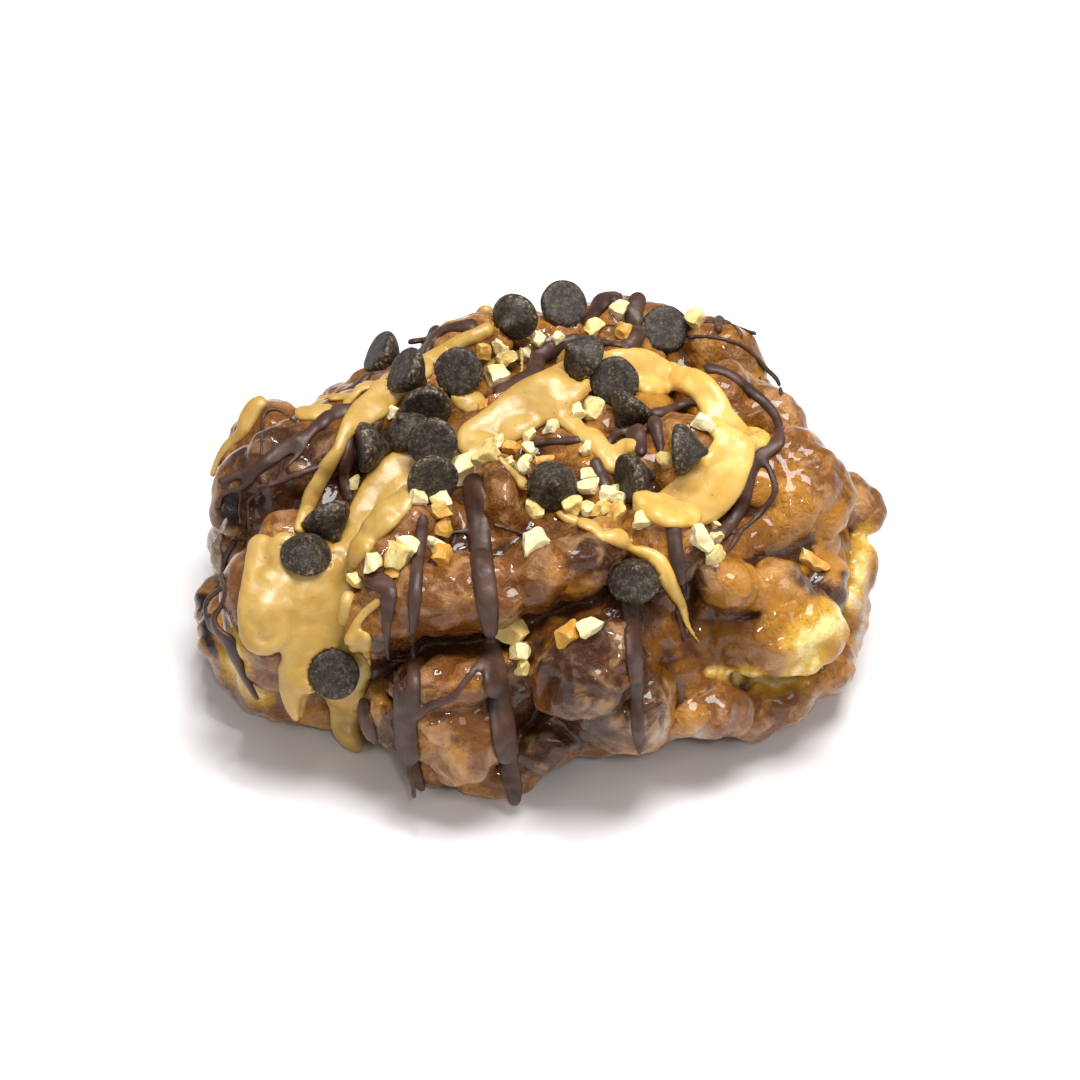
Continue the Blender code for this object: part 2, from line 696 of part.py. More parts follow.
def place_drops(tree):
    """The chocolate drops, each pushed along its line of sight until it is pressed in or meets another."""
    placed = []
    drops = []
    for number, drop in enumerate(DROPS, start=1):
        made = turned_drop(f"chip_{number:02d}", 0)
        axes = drop_axes(drop).to_4x4()
        direction = sight_line(drop.column, drop.row)
        shape = [axes @ (vertex.co - Vector((0, 0, DROP_HEIGHT / 2))) for vertex in made.data.vertices]
        faces = [tuple(face.vertices) for face in made.data.polygons]
        sink = SINK_BASE if drop.lean < 65 else SINK_SIDE if drop.lean < 130 else SINK_TIP
        on_base = [index for index, vertex in enumerate(made.data.vertices) if vertex.co.z < 0.5 * MM]
        _, _, distance = seen_spot(drop.column, drop.row, tree)
        reach = distance - 25 * MM
        while reach < distance + 6 * MM:
            step = reach + 0.2 * MM
            points = [EYE + direction * step + corner for corner in shape]
            own = BVHTree.FromPolygons(points, faces)
            if depth_in(points, tree) > sink or too_close(points, own, placed):
                break
            if sink == SINK_TIP and depth_in([points[index] for index in on_base], tree) > SINK_RIM:
                break
            reach = step
        points = [EYE + direction * reach + corner for corner in shape]
        placed.append((BVHTree.FromPolygons(points, faces), points))
        made.matrix_world = Matrix.Translation(EYE + direction * reach) @ axes
        made.matrix_world @= Matrix.Translation((0, 0, -DROP_HEIGHT / 2))
        drops.append(made)
    return drops


def drop_pockets(drops):
    """Cutters a margin wider than the drops all round, where they lie."""
    for drop in drops:
        cutter = turned_drop(f"pocket of {drop.name}", POCKET_MARGIN)
        cutter.matrix_world = drop.matrix_world
        yield cutter


def ground_cutter():
    """A slab whose top is the ground, which cuts the flat underside."""
    mesh = bmesh.new()
    size = Matrix.Diagonal((300 * MM, 300 * MM, 40 * MM, 1))
    bmesh.ops.create_cube(mesh, size=1, matrix=Matrix.Translation((0, 0, -20 * MM)) @ size)
    return mesh_object("ground", mesh)


def drop_scraps(made):
    """Keeps only the largest closed body of the mesh."""
    mesh = bmesh.new()
    mesh.from_mesh(made.data)
    waiting = set(mesh.faces)
    islands = []
    while waiting:
        island = [waiting.pop()]
        for face in island:
            for edge in face.edges:
                if len(edge.link_faces) != 2:
                    continue
                for other in edge.link_faces:
                    if other in waiting:
                        waiting.remove(other)
                        island.append(other)
        islands.append(island)
    islands.sort(key=len)
    scraps = [face for island in islands[:-1] for face in island]
    bmesh.ops.delete(mesh, geom=scraps, context="FACES")
    bmesh.ops.triangulate(mesh, faces=mesh.faces)
    mesh.to_mesh(made.data)
    mesh.free()


def finish_with(made, name, colour, roughness):
    """Gives the object a material of its own."""
    material = bpy.data.materials.new(name)
    material.use_nodes = True
    shader = material.node_tree.nodes["Principled BSDF"]
    shader.inputs["Base Color"].default_value = (*colour, 1)
    shader.inputs["Roughness"].default_value = roughness
    shader.inputs["Metallic"].default_value = 0.0
    made.data.materials.clear()
    made.data.materials.append(material)


def clear_scene():
    """Removes the objects that a new file starts with."""
    for old in list(bpy.data.objects):
        bpy.data.objects.remove(old, do_unlink=True)


def main():
    """Builds the fritter."""
    clear_scene()
    dough = make_dough()
    bare = surface_tree([dough])
    peanut = make_sauce("peanut", PEANUT_STROKES, bare, PEANUT_THICKNESS, PEANUT_TRIANGLES)
    sauced = surface_tree([dough, peanut])
    chocolate = make_sauce("chocolate", CHOCOLATE_STROKES, bare, CHOCOLATE_THICKNESS, CHOCOLATE_TRIANGLES)
    thin_out(dough, DOUGH_TRIANGLES)
    crumbs = make_crumbs(sauced)
    join_all(dough, [peanut, chocolate, crumbs], "UNION")
    thin_out(dough, TOPPED_TRIANGLES)
    drops = place_drops(surface_tree([dough]))
    join_all(dough, [*drop_pockets(drops), ground_cutter()], "DIFFERENCE")
    drop_scraps(dough)
    finish_with(dough, "fried dough", (0.42, 0.2, 0.08), 0.35)
    for drop in drops:
        finish_with(drop, f"{drop.name} chocolate", (0.045, 0.035, 0.028), 0.5)


main()
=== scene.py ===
"""Looks of a glazed fried dough fritter with peanut sauce, chocolate sauce, chopped peanuts and chocolate drops.

What lies on the dough is laid out as it is seen from one point in front of and above it. A place is given in
the steps of a picture grid on the upright plane through the dough's middle, columns running right and rows
running down, and is carried along the line of sight until it meets the dough.
"""

import logging
import math
import random
from dataclasses import dataclass, field
from enum import Enum
from typing import Iterable, Iterator, NamedTuple, Optional, Union

import bmesh
import bpy
import numpy as np
from mathutils import Matrix, Vector, noise
from mathutils.bvhtree import BVHTree
from mathutils.kdtree import KDTree


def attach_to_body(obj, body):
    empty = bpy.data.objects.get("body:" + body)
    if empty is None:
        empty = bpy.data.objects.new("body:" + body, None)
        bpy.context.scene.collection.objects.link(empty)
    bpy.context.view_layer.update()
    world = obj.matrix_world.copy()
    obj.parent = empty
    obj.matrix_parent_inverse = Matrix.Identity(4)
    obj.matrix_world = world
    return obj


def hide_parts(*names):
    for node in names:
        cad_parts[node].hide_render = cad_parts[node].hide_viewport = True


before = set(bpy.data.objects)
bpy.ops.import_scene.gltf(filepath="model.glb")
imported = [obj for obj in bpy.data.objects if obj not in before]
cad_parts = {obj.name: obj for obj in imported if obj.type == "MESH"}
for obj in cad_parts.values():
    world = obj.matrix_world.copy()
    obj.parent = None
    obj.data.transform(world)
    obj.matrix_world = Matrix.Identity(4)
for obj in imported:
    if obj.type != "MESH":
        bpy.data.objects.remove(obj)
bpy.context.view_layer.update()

LOG = logging.getLogger("fritter")
MM = 0.001
Colour = tuple[float, float, float, float]


# ---- The point of sight ----


@dataclass
class Sight:
    """The eye above and in front of the dough, or behind it where side is -1, and the picture grid it looks at."""

    side: int = 1
    rise: float = math.radians(40)
    step: float = 0.2 * MM
    centre: tuple[float, float] = (540.0, 540.0)
    distance: float = 620 * MM
    frame_steps: int = 1080
    middle: Vector = field(default_factory=lambda: Vector((0, 0, 27 * MM)))

    def __post_init__(self) -> None:
        """Works out the axes of the picture, and where the eye is."""
        self.right = Vector((self.side, 0, 0))
        self.upward = Vector((0, self.side * math.sin(self.rise), math.cos(self.rise)))
        self.towards = Vector((0, -self.side * math.cos(self.rise), math.sin(self.rise)))
        self.eye = self.middle + self.towards * self.distance

    def line(self, column: float, row: float) -> Vector:
        """Finds a line of sight.

        Args:
            column: Column on the picture grid.
            row: Row on the picture grid.

        Returns:
            The direction from the eye through that place.
        """
        across = (column - self.centre[0]) * self.step
        up = (self.centre[1] - row) * self.step
        return (self.middle + self.right * across + self.upward * up - self.eye).normalized()

    def places(self, points: np.ndarray) -> tuple[np.ndarray, np.ndarray]:
        """Finds where points are seen.

        Args:
            points: Points in metres, one a row.

        Returns:
            Their columns and their rows on the picture grid.
        """
        eye = np.array(self.eye)
        rays = points - eye
        reach = self.distance / -(rays @ np.array(self.towards))
        offset = eye + rays * reach[:, None] - np.array(self.middle)
        columns = self.centre[0] + offset @ np.array(self.right) / self.step
        rows = self.centre[1] - offset @ np.array(self.upward) / self.step
        return columns, rows

    def facing(self, turn: float) -> Matrix:
        """Makes axes in the picture plane.

        Args:
            turn: Degrees by which the first axis is turned from the right.

        Returns:
            The axes as a 3x3 matrix, the third one facing the eye.
        """
        angle = math.radians(turn)
        along = self.right * math.cos(angle) + self.upward * math.sin(angle)
        across = self.upward * math.cos(angle) - self.right * math.sin(angle)
        return Matrix((along, across, self.towards)).transposed()


SIGHT = Sight()
FAR_SIGHT = Sight(side=-1)


# ---- Meshes ----


DRIFT_SHIFTS = (Vector((13.8, 10.3, -3.2)), Vector((-9.6, 0.5, -3.8)), Vector((11.4, -7.9, -0.9)))


def drift(place: Vector) -> Vector:
    """Gives a slow drift in all three directions, the same each time for the same place."""
    return Vector([noise.noise(place + shift) for shift in DRIFT_SHIFTS])


def pattern_shift(draw: random.Random) -> Vector:
    """Draws a shift by which a pattern differs from piece to piece."""
    return Vector([draw.uniform(-50, 50) for _ in range(3)])


def pointed(direction: Vector, axis: str = "Z") -> Matrix:
    """Makes the 4x4 turn that points an axis in a direction."""
    return direction.to_track_quat(axis, "Y").to_matrix().to_4x4()


def add_ball(mesh: bmesh.types.BMesh, place: Vector, axes: Matrix, half: Vector, subdivisions: int = 3) -> None:
    """Adds an ellipsoid.

    Args:
        mesh: The mesh that it goes into.
        place: Its middle.
        axes: Its axes, as a 3x3 matrix.
        half: Its half sizes along them.
        subdivisions: How finely it is divided.
    """
    matrix = Matrix.Translation(place) @ axes.to_4x4() @ Matrix.Diagonal(half).to_4x4()
    bmesh.ops.create_icosphere(mesh, subdivisions=subdivisions, radius=1, matrix=matrix)


def add_mesh(whole: bmesh.types.BMesh, part: bmesh.types.BMesh, name: str) -> None:
    """Adds a mesh to another and frees it.

    Args:
        whole: The mesh that grows.
        part: The mesh that is added.
        name: What the part is called on its way.
    """
    data = bpy.data.meshes.new(name)
    part.to_mesh(data)
    part.free()
    whole.from_mesh(data)
    bpy.data.meshes.remove(data)


def object_of(name: str, mesh: bmesh.types.BMesh) -> bpy.types.Object:
    """Makes a new object of a bmesh, at the origin, and frees the bmesh."""
    data = bpy.data.meshes.new(name)
    mesh.to_mesh(data)
    mesh.free()
    made = bpy.data.objects.new(name, data)
    bpy.context.scene.collection.objects.link(made)
    return made


def settle(made: bpy.types.Object) -> None:
    """Replaces an object's mesh by what its modifiers make of it."""
    graph = bpy.context.evaluated_depsgraph_get()
    graph.update()
    data = bpy.data.meshes.new_from_object(made.evaluated_get(graph))
    made.modifiers.clear()
    old = made.data
    made.data = data
    bpy.data.meshes.remove(old)


def fuse(made: bpy.types.Object, voxel: float, smoothings: int) -> None:
    """Makes one closed skin of overlapping balls.

    Args:
        made: The object that holds the balls.
        voxel: The size of the grid that they are fused on.
        smoothings: How often the skin is smoothed.
    """
    remesh = made.modifiers.new("fuse", "REMESH")
    remesh.mode = "VOXEL"
    remesh.voxel_size = voxel
    smooth = made.modifiers.new("soften", "SMOOTH")
    smooth.factor = 0.5
    smooth.iterations = smoothings
    settle(made)


def corners_of(made: bpy.types.Object) -> np.ndarray:
    """Gives the places of an object's vertices, one a row."""
    places = np.empty(len(made.data.vertices) * 3, np.float32)
    made.data.vertices.foreach_get("co", places)
    return places.reshape(-1, 3).astype(float)


def normals_of(made: bpy.types.Object) -> np.ndarray:
    """Gives the normals at an object's vertices, one a row."""
    normals = np.empty(len(made.data.vertices) * 3, np.float32)
    made.data.vertex_normals.foreach_get("vector", normals)
    return normals.reshape(-1, 3).astype(float)


def move_corners(made: bpy.types.Object, places: np.ndarray) -> None:
    """Moves an object's vertices to new places, one a row."""
    made.data.vertices.foreach_set("co", places.astype(np.float32).ravel())
    made.data.update()


def smoothed(made: bpy.types.Object, places: np.ndarray, times: int) -> np.ndarray:
    """Smooths values over a mesh.

    Args:
        made: The object whose edges join the vertices.
        places: The values at its vertices, one row each.
        times: How often each value moves halfway to the mean of its neighbours.

    Returns:
        The smoothed values.
    """
    edges = np.empty(len(made.data.edges) * 2, np.int32)
    made.data.edges.foreach_get("vertices", edges)
    first, second = edges.reshape(-1, 2).T
    count = len(places)
    links = np.maximum(np.bincount(first, minlength=count) + np.bincount(second, minlength=count), 1)
    result = places.copy()
    for _ in range(times):
        sums = np.empty_like(result)
        for axis in range(result.shape[1]):
            values = result[:, axis]
            sums[:, axis] = np.bincount(first, values[second], count) + np.bincount(second, values[first], count)
        result = (result + sums / links[:, None]) / 2
    return result


def attach(made: bpy.types.Object, name: str, values: np.ndarray) -> None:
    """Stores one number at each vertex under a name that a finish reads."""
    attribute = made.data.attributes.new(name, "FLOAT", "POINT")
    attribute.data.foreach_set("value", np.clip(values, 0, 1).astype(np.float32))


def surface_tree(objects: Iterable[bpy.types.Object], growth: float = 1.0) -> BVHTree:
    """Makes a search tree over the faces of these objects.

    Args:
        objects: The objects.
        growth: How many times as large each is taken, about its own middle.

    Returns:
        The tree.
    """
    points: list[Vector] = []
    faces: list[list[int]] = []
    for made in objects:
        first = len(points)
        corners = corners_of(made)
        middle = corners.mean(0)
        points.extend(Vector(corner) for corner in middle + (corners - middle) * growth)
        faces.extend([first + index for index in face.vertices] for face in made.data.polygons)
    return BVHTree.FromPolygons(points, faces)


def push_back(made: bpy.types.Object, held: BVHTree, reach: float, depth: float = 0.9 * MM) -> None:
    """Pushes what would cover a held piece back into it, as it is seen from the eye.

    Args:
        made: The object that is pushed.
        held: The faces of the pieces pressed into it.
        reach: How far in front of such a piece it may lie and still be pushed, in metres.
        depth: How far it is pushed into the piece, in metres.
    """
    places = corners_of(made)
    for index, corner in enumerate(places):
        place = Vector(corner)
        direction = (place - SIGHT.eye).normalized()
        # It starts a little nearer to the eye, so that what lies just behind the piece's face is pushed as well.
        spot, normal, _, _ = held.ray_cast(place - direction * MM, direction, reach + MM)
        if spot is not None and normal.dot(direction) < 0:
            places[index] = spot + direction * depth
    move_corners(made, places)


def smooth_shade(made: bpy.types.Object) -> None:
    """Shades an object smoothly."""
    made.data.polygons.foreach_set("use_smooth", [True] * len(made.data.polygons))
    made.data.update()


def carried(made: bpy.types.Object, *nodes: str) -> None:
    """Lets a piece ride with the part and stand for these nodes of it."""
    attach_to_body(made, "root")
    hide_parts(*nodes)


# ---- Finishes ----


def tint(red: int, green: int, blue: int) -> Colour:
    """Makes a colour of a shader from a colour as it is seen, from 0 to 255."""
    shares = (value / 255 for value in (red, green, blue))
    linear = [share / 12.92 if share <= 0.04045 else ((share + 0.055) / 1.055) ** 2.4 for share in shares]
    return (linear[0], linear[1], linear[2], 1.0)


class Value:
    """A socket of a shader, which takes part in sums as a number does."""

    def __init__(self, graph: "Graph", socket: bpy.types.NodeSocket) -> None:
        """Wraps a socket of the graph."""
        self.graph = graph
        self.socket = socket

    def _sum(self, operation: str, *terms: "Term") -> "Value":
        """Adds a Math node with this operation on these terms."""
        return self.graph.node("Math", {"operation": operation}, dict(enumerate(terms)))

    def __add__(self, other: "Term") -> "Value":
        """Adds."""
        return self._sum("ADD", self, other)

    __radd__ = __add__

    def __sub__(self, other: "Term") -> "Value":
        """Subtracts."""
        return self._sum("SUBTRACT", self, other)

    def __rsub__(self, other: "Term") -> "Value":
        """Subtracts from a number."""
        return self._sum("SUBTRACT", other, self)

    def __mul__(self, other: "Term") -> "Value":
        """Multiplies."""
        return self._sum("MULTIPLY", self, other)

    __rmul__ = __mul__

    def larger(self, other: "Term") -> "Value":
        """Gives the larger of the two."""
        return self._sum("MAXIMUM", self, other)

    def size(self) -> "Value":
        """Gives the value without its sign."""
        return self._sum("ABSOLUTE", self)

    def ramp(self, low: float, high: float) -> "Value":
        """Rises smoothly from 0 where the value is low to 1 where it is high."""
        settings = {"interpolation_type": "SMOOTHSTEP"}
        return self.graph.node("MapRange", settings, {"Value": self, "From Min": low, "From Max": high})


Term = Union[Value, float]
Paint = Union[Value, Colour]


class Graph:
    """The shader of one material."""

    def __init__(self, name: str) -> None:
        """Makes a material with a Principled shader."""
        self.material = bpy.data.materials.new(name)
        self.material.use_nodes = True
        self.tree = self.material.node_tree
        self.shader = self.tree.nodes["Principled BSDF"]

    def node(
        self, kind: str, settings: dict[str, object], inputs: dict[Union[int, str], object], output: int = 0
    ) -> Value:
        """Adds a node.

        Args:
            kind: The node's type, without its prefix.
            settings: What is set on the node itself, before its sockets.
            inputs: The values or links of its sockets.
            output: Which of its outputs is used.

        Returns:
            That output.
        """
        made = self.tree.nodes.new("ShaderNode" + kind)
        for name, setting in settings.items():
            setattr(made, name, setting)
        for key, value in inputs.items():
            self.join(made.inputs[key], value)
        return Value(self, made.outputs[output])

    def join(self, socket: bpy.types.NodeSocket, value: object) -> None:
        """Links a value to a socket, or sets the socket to a plain number, vector or colour."""
        if isinstance(value, Value):
            self.tree.links.new(value.socket, socket)
        else:
            socket.default_value = value

    def fix(self, **constants: object) -> None:
        """Sets sockets of the shader that are the same all over, named with _ for a space."""
        for name, value in constants.items():
            self.shader.inputs[name.replace("_", " ")].default_value = value

    def place(self, shift: tuple[float, float, float] = (0, 0, 0)) -> Value:
        """Gives the place on the object in millimetres, moved by a shift so that patterns differ."""
        here = self.node("TexCoord", {}, {}, output=3)
        sized = self.node("VectorMath", {"operation": "SCALE"}, {0: here, "Scale": 1000.0})
        return self.node("VectorMath", {"operation": "ADD"}, {0: sized, 1: shift})

    def attribute(self, name: str) -> Value:
        """Gives a number stored at the vertices."""
        return self.node("Attribute", {"attribute_name": name}, {}, output=2)

    def cloud(self, place: Value, size: float, detail: float = 2.0, rough: float = 0.5, bend: float = 0.0) -> Value:
        """Gives a soft random pattern.

        Args:
            place: Where it is read, in millimetres.
            size: The size of its blotches in millimetres.
            detail: How many finer layers it has.
            rough: How strong they are.
            bend: How far it is swirled.

        Returns:
            A number about 0.5.
        """
        inputs = {"Vector": place, "Scale": 1 / size, "Detail": detail, "Roughness": rough, "Distortion": bend}
        return self.node("TexNoise", {}, inputs)

    def cells(self, place: Value, size: float) -> Value:
        """Gives the distance to the nearest of points scattered at this spacing in millimetres."""
        return self.node("TexVoronoi", {}, {"Vector": place, "Scale": 1 / size, "Randomness": 1.0})

    def mix(self, share: Term, start: Paint, stop: Paint) -> Value:
        """Mixes two colours: the first where the share is 0, the second where it is 1."""
        return self.node("Mix", {"data_type": "RGBA"}, {0: share, 6: start, 7: stop}, output=2)

    def shade(self, colour: Paint, light: Term) -> Value:
        """Multiplies a colour by a light, which is 1 where the colour stays."""
        start = colour if isinstance(colour, Value) else colour[:3]
        return self.node("VectorMath", {"operation": "SCALE"}, {0: start, "Scale": light})

    def paint(self, colour: Value) -> None:
        """Links a colour to the shader."""
        self.join(self.shader.inputs["Base Color"], colour)

    def surface(self, colour: Value, roughness: Value, relief: Value, depth: float) -> None:
        """Feeds the shader what changes over the surface.

        Args:
            colour: The colour.
            roughness: The roughness.
            relief: The relief, from 0 to 1.
            depth: The relief's full height in millimetres.
        """
        self.paint(colour)
        self.join(self.shader.inputs["Roughness"], roughness)
        bump = self.node("Bump", {}, {"Strength": 1.0, "Distance": depth * MM, "Height": relief})
        self.join(self.shader.inputs["Normal"], bump)

    def put_on(self, made: bpy.types.Object) -> None:
        """Gives the material to an object."""
        made.data.materials.clear()
        made.data.materials.append(self.material)


@dataclass(frozen=True)
class CrustFinish:
    """Browned fried dough under a dried sugar glaze, with painted shade in its creases and a painted sheen on its
    ridges.
    """

    golden: Colour = tint(178, 120, 40)
    brown: Colour = tint(116, 68, 24)
    dark: Colour = tint(66, 34, 15)
    deep: Colour = tint(58, 30, 12)
    amber: Colour = tint(118, 70, 4)
    # The pale tan of the sugar glaze and of the painted sheen on the ridges.
    glazed: Colour = tint(214, 164, 114)
    straw: Colour = tint(216, 166, 54)
    pale: Colour = tint(246, 230, 154)
    burnt: Colour = tint(32, 23, 20)
    milky: Colour = tint(204, 196, 184)

    def put_on(self, made: bpy.types.Object) -> None:
        """Dresses the dough."""
        graph = Graph("fried_crust")
        place = graph.place()
        crease = graph.attribute("crease")
        ridge = graph.attribute("ridge")
        patch = graph.cloud(place, 6, 4, 0.6, 0.5)
        fine = graph.cloud(graph.place((7, 3, 9)), 1.5, 4, 0.65, 0.5)
        colour = self.baked(graph, place, patch, fine, crease)
        veil = graph.cloud(graph.place((3, 21, 14)), 5.0, 4, 0.6, 0.8).ramp(0.38, 0.74)
        # Sugar glaze with a painted sheen: the ridges and the glaze dabs are lightened towards a pale glaze colour.
        glaze_sheen_share = (ridge * 0.9 + graph.attribute("glazed") * 0.9) * (0.1 + 0.9 * veil)
        colour = graph.mix(glaze_sheen_share.ramp(0.05, 1.0) * 0.42, colour, self.glazed)
        colour = self.torn(graph, colour, patch, fine)
        colour = graph.mix(graph.attribute("milky") * (0.35 + 0.65 * veil), colour, self.milky)
        colour = self.specked(graph, place, colour)
        dull = graph.cloud(graph.place((9, 9, 1)), 3.0, 3, 0.6).ramp(0.42, 0.70)
        relief = graph.cloud(place, 2.4, 5, 0.6, 0.9) + veil * 0.12 + graph.cloud(place, 0.5, 2) * 0.08
        graph.surface(colour, 0.15 + 0.25 * dull, relief, 0.95)
        graph.fix(Specular_IOR_Level=0.16, Coat_Weight=0.55, Coat_Roughness=0.04)
        graph.fix(Subsurface_Weight=0.12, Subsurface_Scale=0.003)
        graph.put_on(made)

    def baked(self, graph: Graph, place: Value, patch: Value, fine: Value, crease: Value) -> Value:
        """Colours the crust by how much it was fried, with painted shade in its creases.

        Args:
            graph: The material's shader.
            place: The place on the dough.
            patch: Blotches a few millimetres wide.
            fine: Finer blotches.
            crease: Where the skin folds in.

        Returns:
            The crust's colour, golden on open lumps and nearly black in the folds, where the shade is painted in.
        """
        broad = graph.cloud(place, 16, 2)
        mottle = (patch - 0.5) * 1.9 + (fine - 0.5) * 0.9
        # Painted shade: the crease term pushes the folds from golden towards brown.
        browning_and_crease_shade = broad - 0.5 + mottle + crease * 0.3 + 0.62 - graph.attribute("golden") * 0.45
        browning_and_crease_shade = (browning_and_crease_shade + graph.attribute("brown") * 0.42).ramp(0.20, 0.80)
        colour = graph.mix(browning_and_crease_shade, self.golden, self.brown)
        # Dark brown crust, and painted shade where a dark dab lies along the crevice under the long fold.
        dark_and_crevice_shade = graph.attribute("dark") * 1.1 + graph.attribute("brown") * 0.25
        dark_and_crevice_shade = (dark_and_crevice_shade + mottle * 0.8 + (broad - 0.5) * 0.6).ramp(0.20, 1.0)
        colour = graph.mix(dark_and_crevice_shade, colour, self.dark)
        recess = graph.cloud(graph.place((40, 11, 5)), 9, 2).ramp(0.42, 0.60)
        amber = ((crease * 1.3).ramp(0.05, 0.9) * recess).larger(graph.attribute("amber") * 0.9)
        colour = graph.mix(amber, colour, self.amber)
        # Painted shade: the creases are darkened towards the deep colour.
        depth = (crease * 1.3 + mottle * 0.45).ramp(0.25, 0.95)
        return graph.mix(depth * 0.9, colour, self.deep)

    def torn(self, graph: Graph, colour: Value, patch: Value, fine: Value) -> Value:
        """Adds the pale crumb where the crust tore, and the scorched tips.

        Args:
            graph: The material's shader.
            colour: The crust's colour.
            patch: Blotches a few millimetres wide.
            fine: Finer blotches.

        Returns:
            The colour with both.
        """
        crumb = graph.attribute("pale")
        blotch = (patch - 0.5) * 0.9 + (fine - 0.5) * 0.4
        colour = graph.mix((crumb + blotch).ramp(0.1, 0.8) * 0.85, colour, self.straw)
        colour = graph.mix((crumb + blotch * 0.9).ramp(0.74, 1.18), colour, self.pale)
        scorch = (graph.attribute("burnt") + (fine - 0.5) * 0.6 + (patch - 0.5) * 0.4).ramp(0.25, 0.85)
        return graph.mix(scorch, colour, self.burnt)

    def specked(self, graph: Graph, place: Value, colour: Value) -> Value:
        """Adds dark freckles and a fine grain.

        Args:
            graph: The material's shader.
            place: The place on the dough.
            colour: The crust's colour.

        Returns:
            The colour with both.
        """
        freckle = graph.cells(graph.place((1, 2, 3)), 1.5).ramp(0.08, 0.22)
        freckle = freckle.larger(graph.cloud(place, 3.0, 2).ramp(0.46, 0.54))
        colour = graph.shade(colour, 0.60 + 0.40 * freckle)
        return graph.shade(colour, 0.86 + 0.28 * graph.cloud(place, 0.6, 2, 0.6))


@dataclass(frozen=True)
class PeanutFinish:
    """Thick peanut sauce, smooth, with specks of skin, painted shade in its folds and painted light towards the
    right.
    """

    light: Colour = tint(214, 175, 96)
    dark: Colour = tint(199, 156, 70)
    speck: Colour = tint(128, 74, 34)
    # The painted shade where the sauce folds in.
    fold_shade: Colour = tint(160, 120, 40)

    def put_on(self, made: bpy.types.Object) -> None:
        """Dresses the peanut sauce."""
        graph = Graph("peanut_sauce")
        place = graph.place()
        swirl = graph.cloud(place, 7, 3, 0.55, 0.8)
        colour = graph.mix(swirl.ramp(0.36, 0.66), self.light, self.dark)
        # Painted shade: the sauce darkens where it folds in.
        colour = graph.mix(graph.attribute("crease") * 0.6, colour, self.fold_shade)
        grain = graph.cells(graph.place((4, 8, 1)), 1.9)
        few = graph.cloud(graph.place((2, 6, 3)), 3.0, 1).ramp(0.50, 0.56)
        speck = (1 - grain.ramp(0.06, 0.10)) * few
        colour = graph.mix(speck * 0.8, colour, self.speck)
        mealy = graph.cloud(place, 0.45, 2, 0.6)
        # Painted light: the sauce grows lighter towards the right, where the light falls.
        light_to_the_right = graph.node("SeparateXYZ", {}, {0: place}).ramp(-5.0, 35.0)
        colour = graph.shade(colour, (0.94 + 0.12 * mealy) * (0.81 + 0.42 * light_to_the_right))
        graph.surface(colour, 0.30 + 0.16 * swirl, graph.cloud(place, 4.0, 2, 0.5, 0.5) + mealy * 0.06, 0.28)
        graph.fix(Subsurface_Weight=0.25, Subsurface_Scale=0.003, Coat_Weight=0.15, Coat_Roughness=0.2)
        graph.put_on(made)


@dataclass(frozen=True)
class ChocolateFinish:
    """Set chocolate sauce with a satin skin."""

    light: Colour = tint(84, 57, 45)
    dark: Colour = tint(62, 40, 31)

    def put_on(self, made: bpy.types.Object) -> None:
        """Dresses the chocolate sauce."""
        graph = Graph("chocolate_sauce")
        place = graph.place()
        colour = graph.mix(graph.cloud(place, 4, 3).ramp(0.35, 0.7), self.dark, self.light)
        relief = graph.cloud(place, 2.2, 2) + graph.cloud(place, 0.5, 1) * 0.08
        graph.surface(colour, 0.40 + 0.12 * graph.cloud(place, 1.5, 3), relief, 0.18)
        graph.fix(Specular_IOR_Level=0.42)
        graph.put_on(made)


@dataclass(frozen=True)
class DropFinish:
    """A dark chocolate drop, scuffed and with a dull bloom."""

    dark: Colour = tint(30, 23, 18)
    bloom: Colour = tint(66, 57, 46)
    scuff: Colour = tint(168, 146, 116)

    def material(self) -> Graph:
        """Makes the drops' shared material."""
        graph = Graph("drop_chocolate")
        place = graph.place()
        dust = graph.cloud(place, 1.2, 4, 0.7)
        grit = graph.cloud(place, 0.32, 3, 0.75)
        colour = graph.mix((dust * 0.6 + grit * 0.7 - 0.1).ramp(0.46, 0.68), self.dark, self.bloom)
        contour = (graph.cloud(graph.place((6, 2, 8)), 1.6, 3, 0.6, 1.5) - 0.5).size()
        scratch = 1 - (contour * 30).ramp(0.0, 1.0)
        chalk = graph.cloud(graph.place((1, 7, 2)), 0.8, 3, 0.7).ramp(0.52, 0.66)
        worn = scratch * 0.35 * dust.ramp(0.45, 0.6) + chalk * (0.10 + 0.65 * graph.attribute("rim"))
        colour = graph.mix(worn, colour, self.scuff)
        graph.surface(colour, 0.38 + 0.3 * grit, graph.cloud(place, 1.6, 3, 0.6) + grit * 0.3, 0.2)
        graph.fix(Specular_IOR_Level=0.4)
        return graph


@dataclass(frozen=True)
class NutFinish:
    """Roasted peanut, pale where it is broken and tan where it was browned."""

    pale: Colour = tint(240, 226, 178)
    yellow: Colour = tint(226, 200, 124)
    amber: Colour = tint(206, 150, 58)

    def put_on(self, made: bpy.types.Object) -> None:
        """Dresses the chopped peanuts."""
        graph = Graph("roasted_peanut")
        place = graph.place()
        tone = graph.attribute("toasted") + (graph.cloud(place, 2.2, 3, 0.6) - 0.5) * 1.1
        colour = graph.mix(tone.ramp(0.05, 0.5), self.pale, self.yellow)
        colour = graph.mix(tone.ramp(0.5, 0.95), colour, self.amber)
        colour = graph.shade(colour, 0.9 + 0.2 * graph.cloud(place, 0.5, 2))
        graph.surface(colour, 0.38 + 0.2 * graph.cloud(place, 1.0, 2), graph.cloud(place, 0.8, 3, 0.6), 0.22)
        graph.fix(Subsurface_Weight=0.2, Subsurface_Scale=0.002)
        graph.put_on(made)


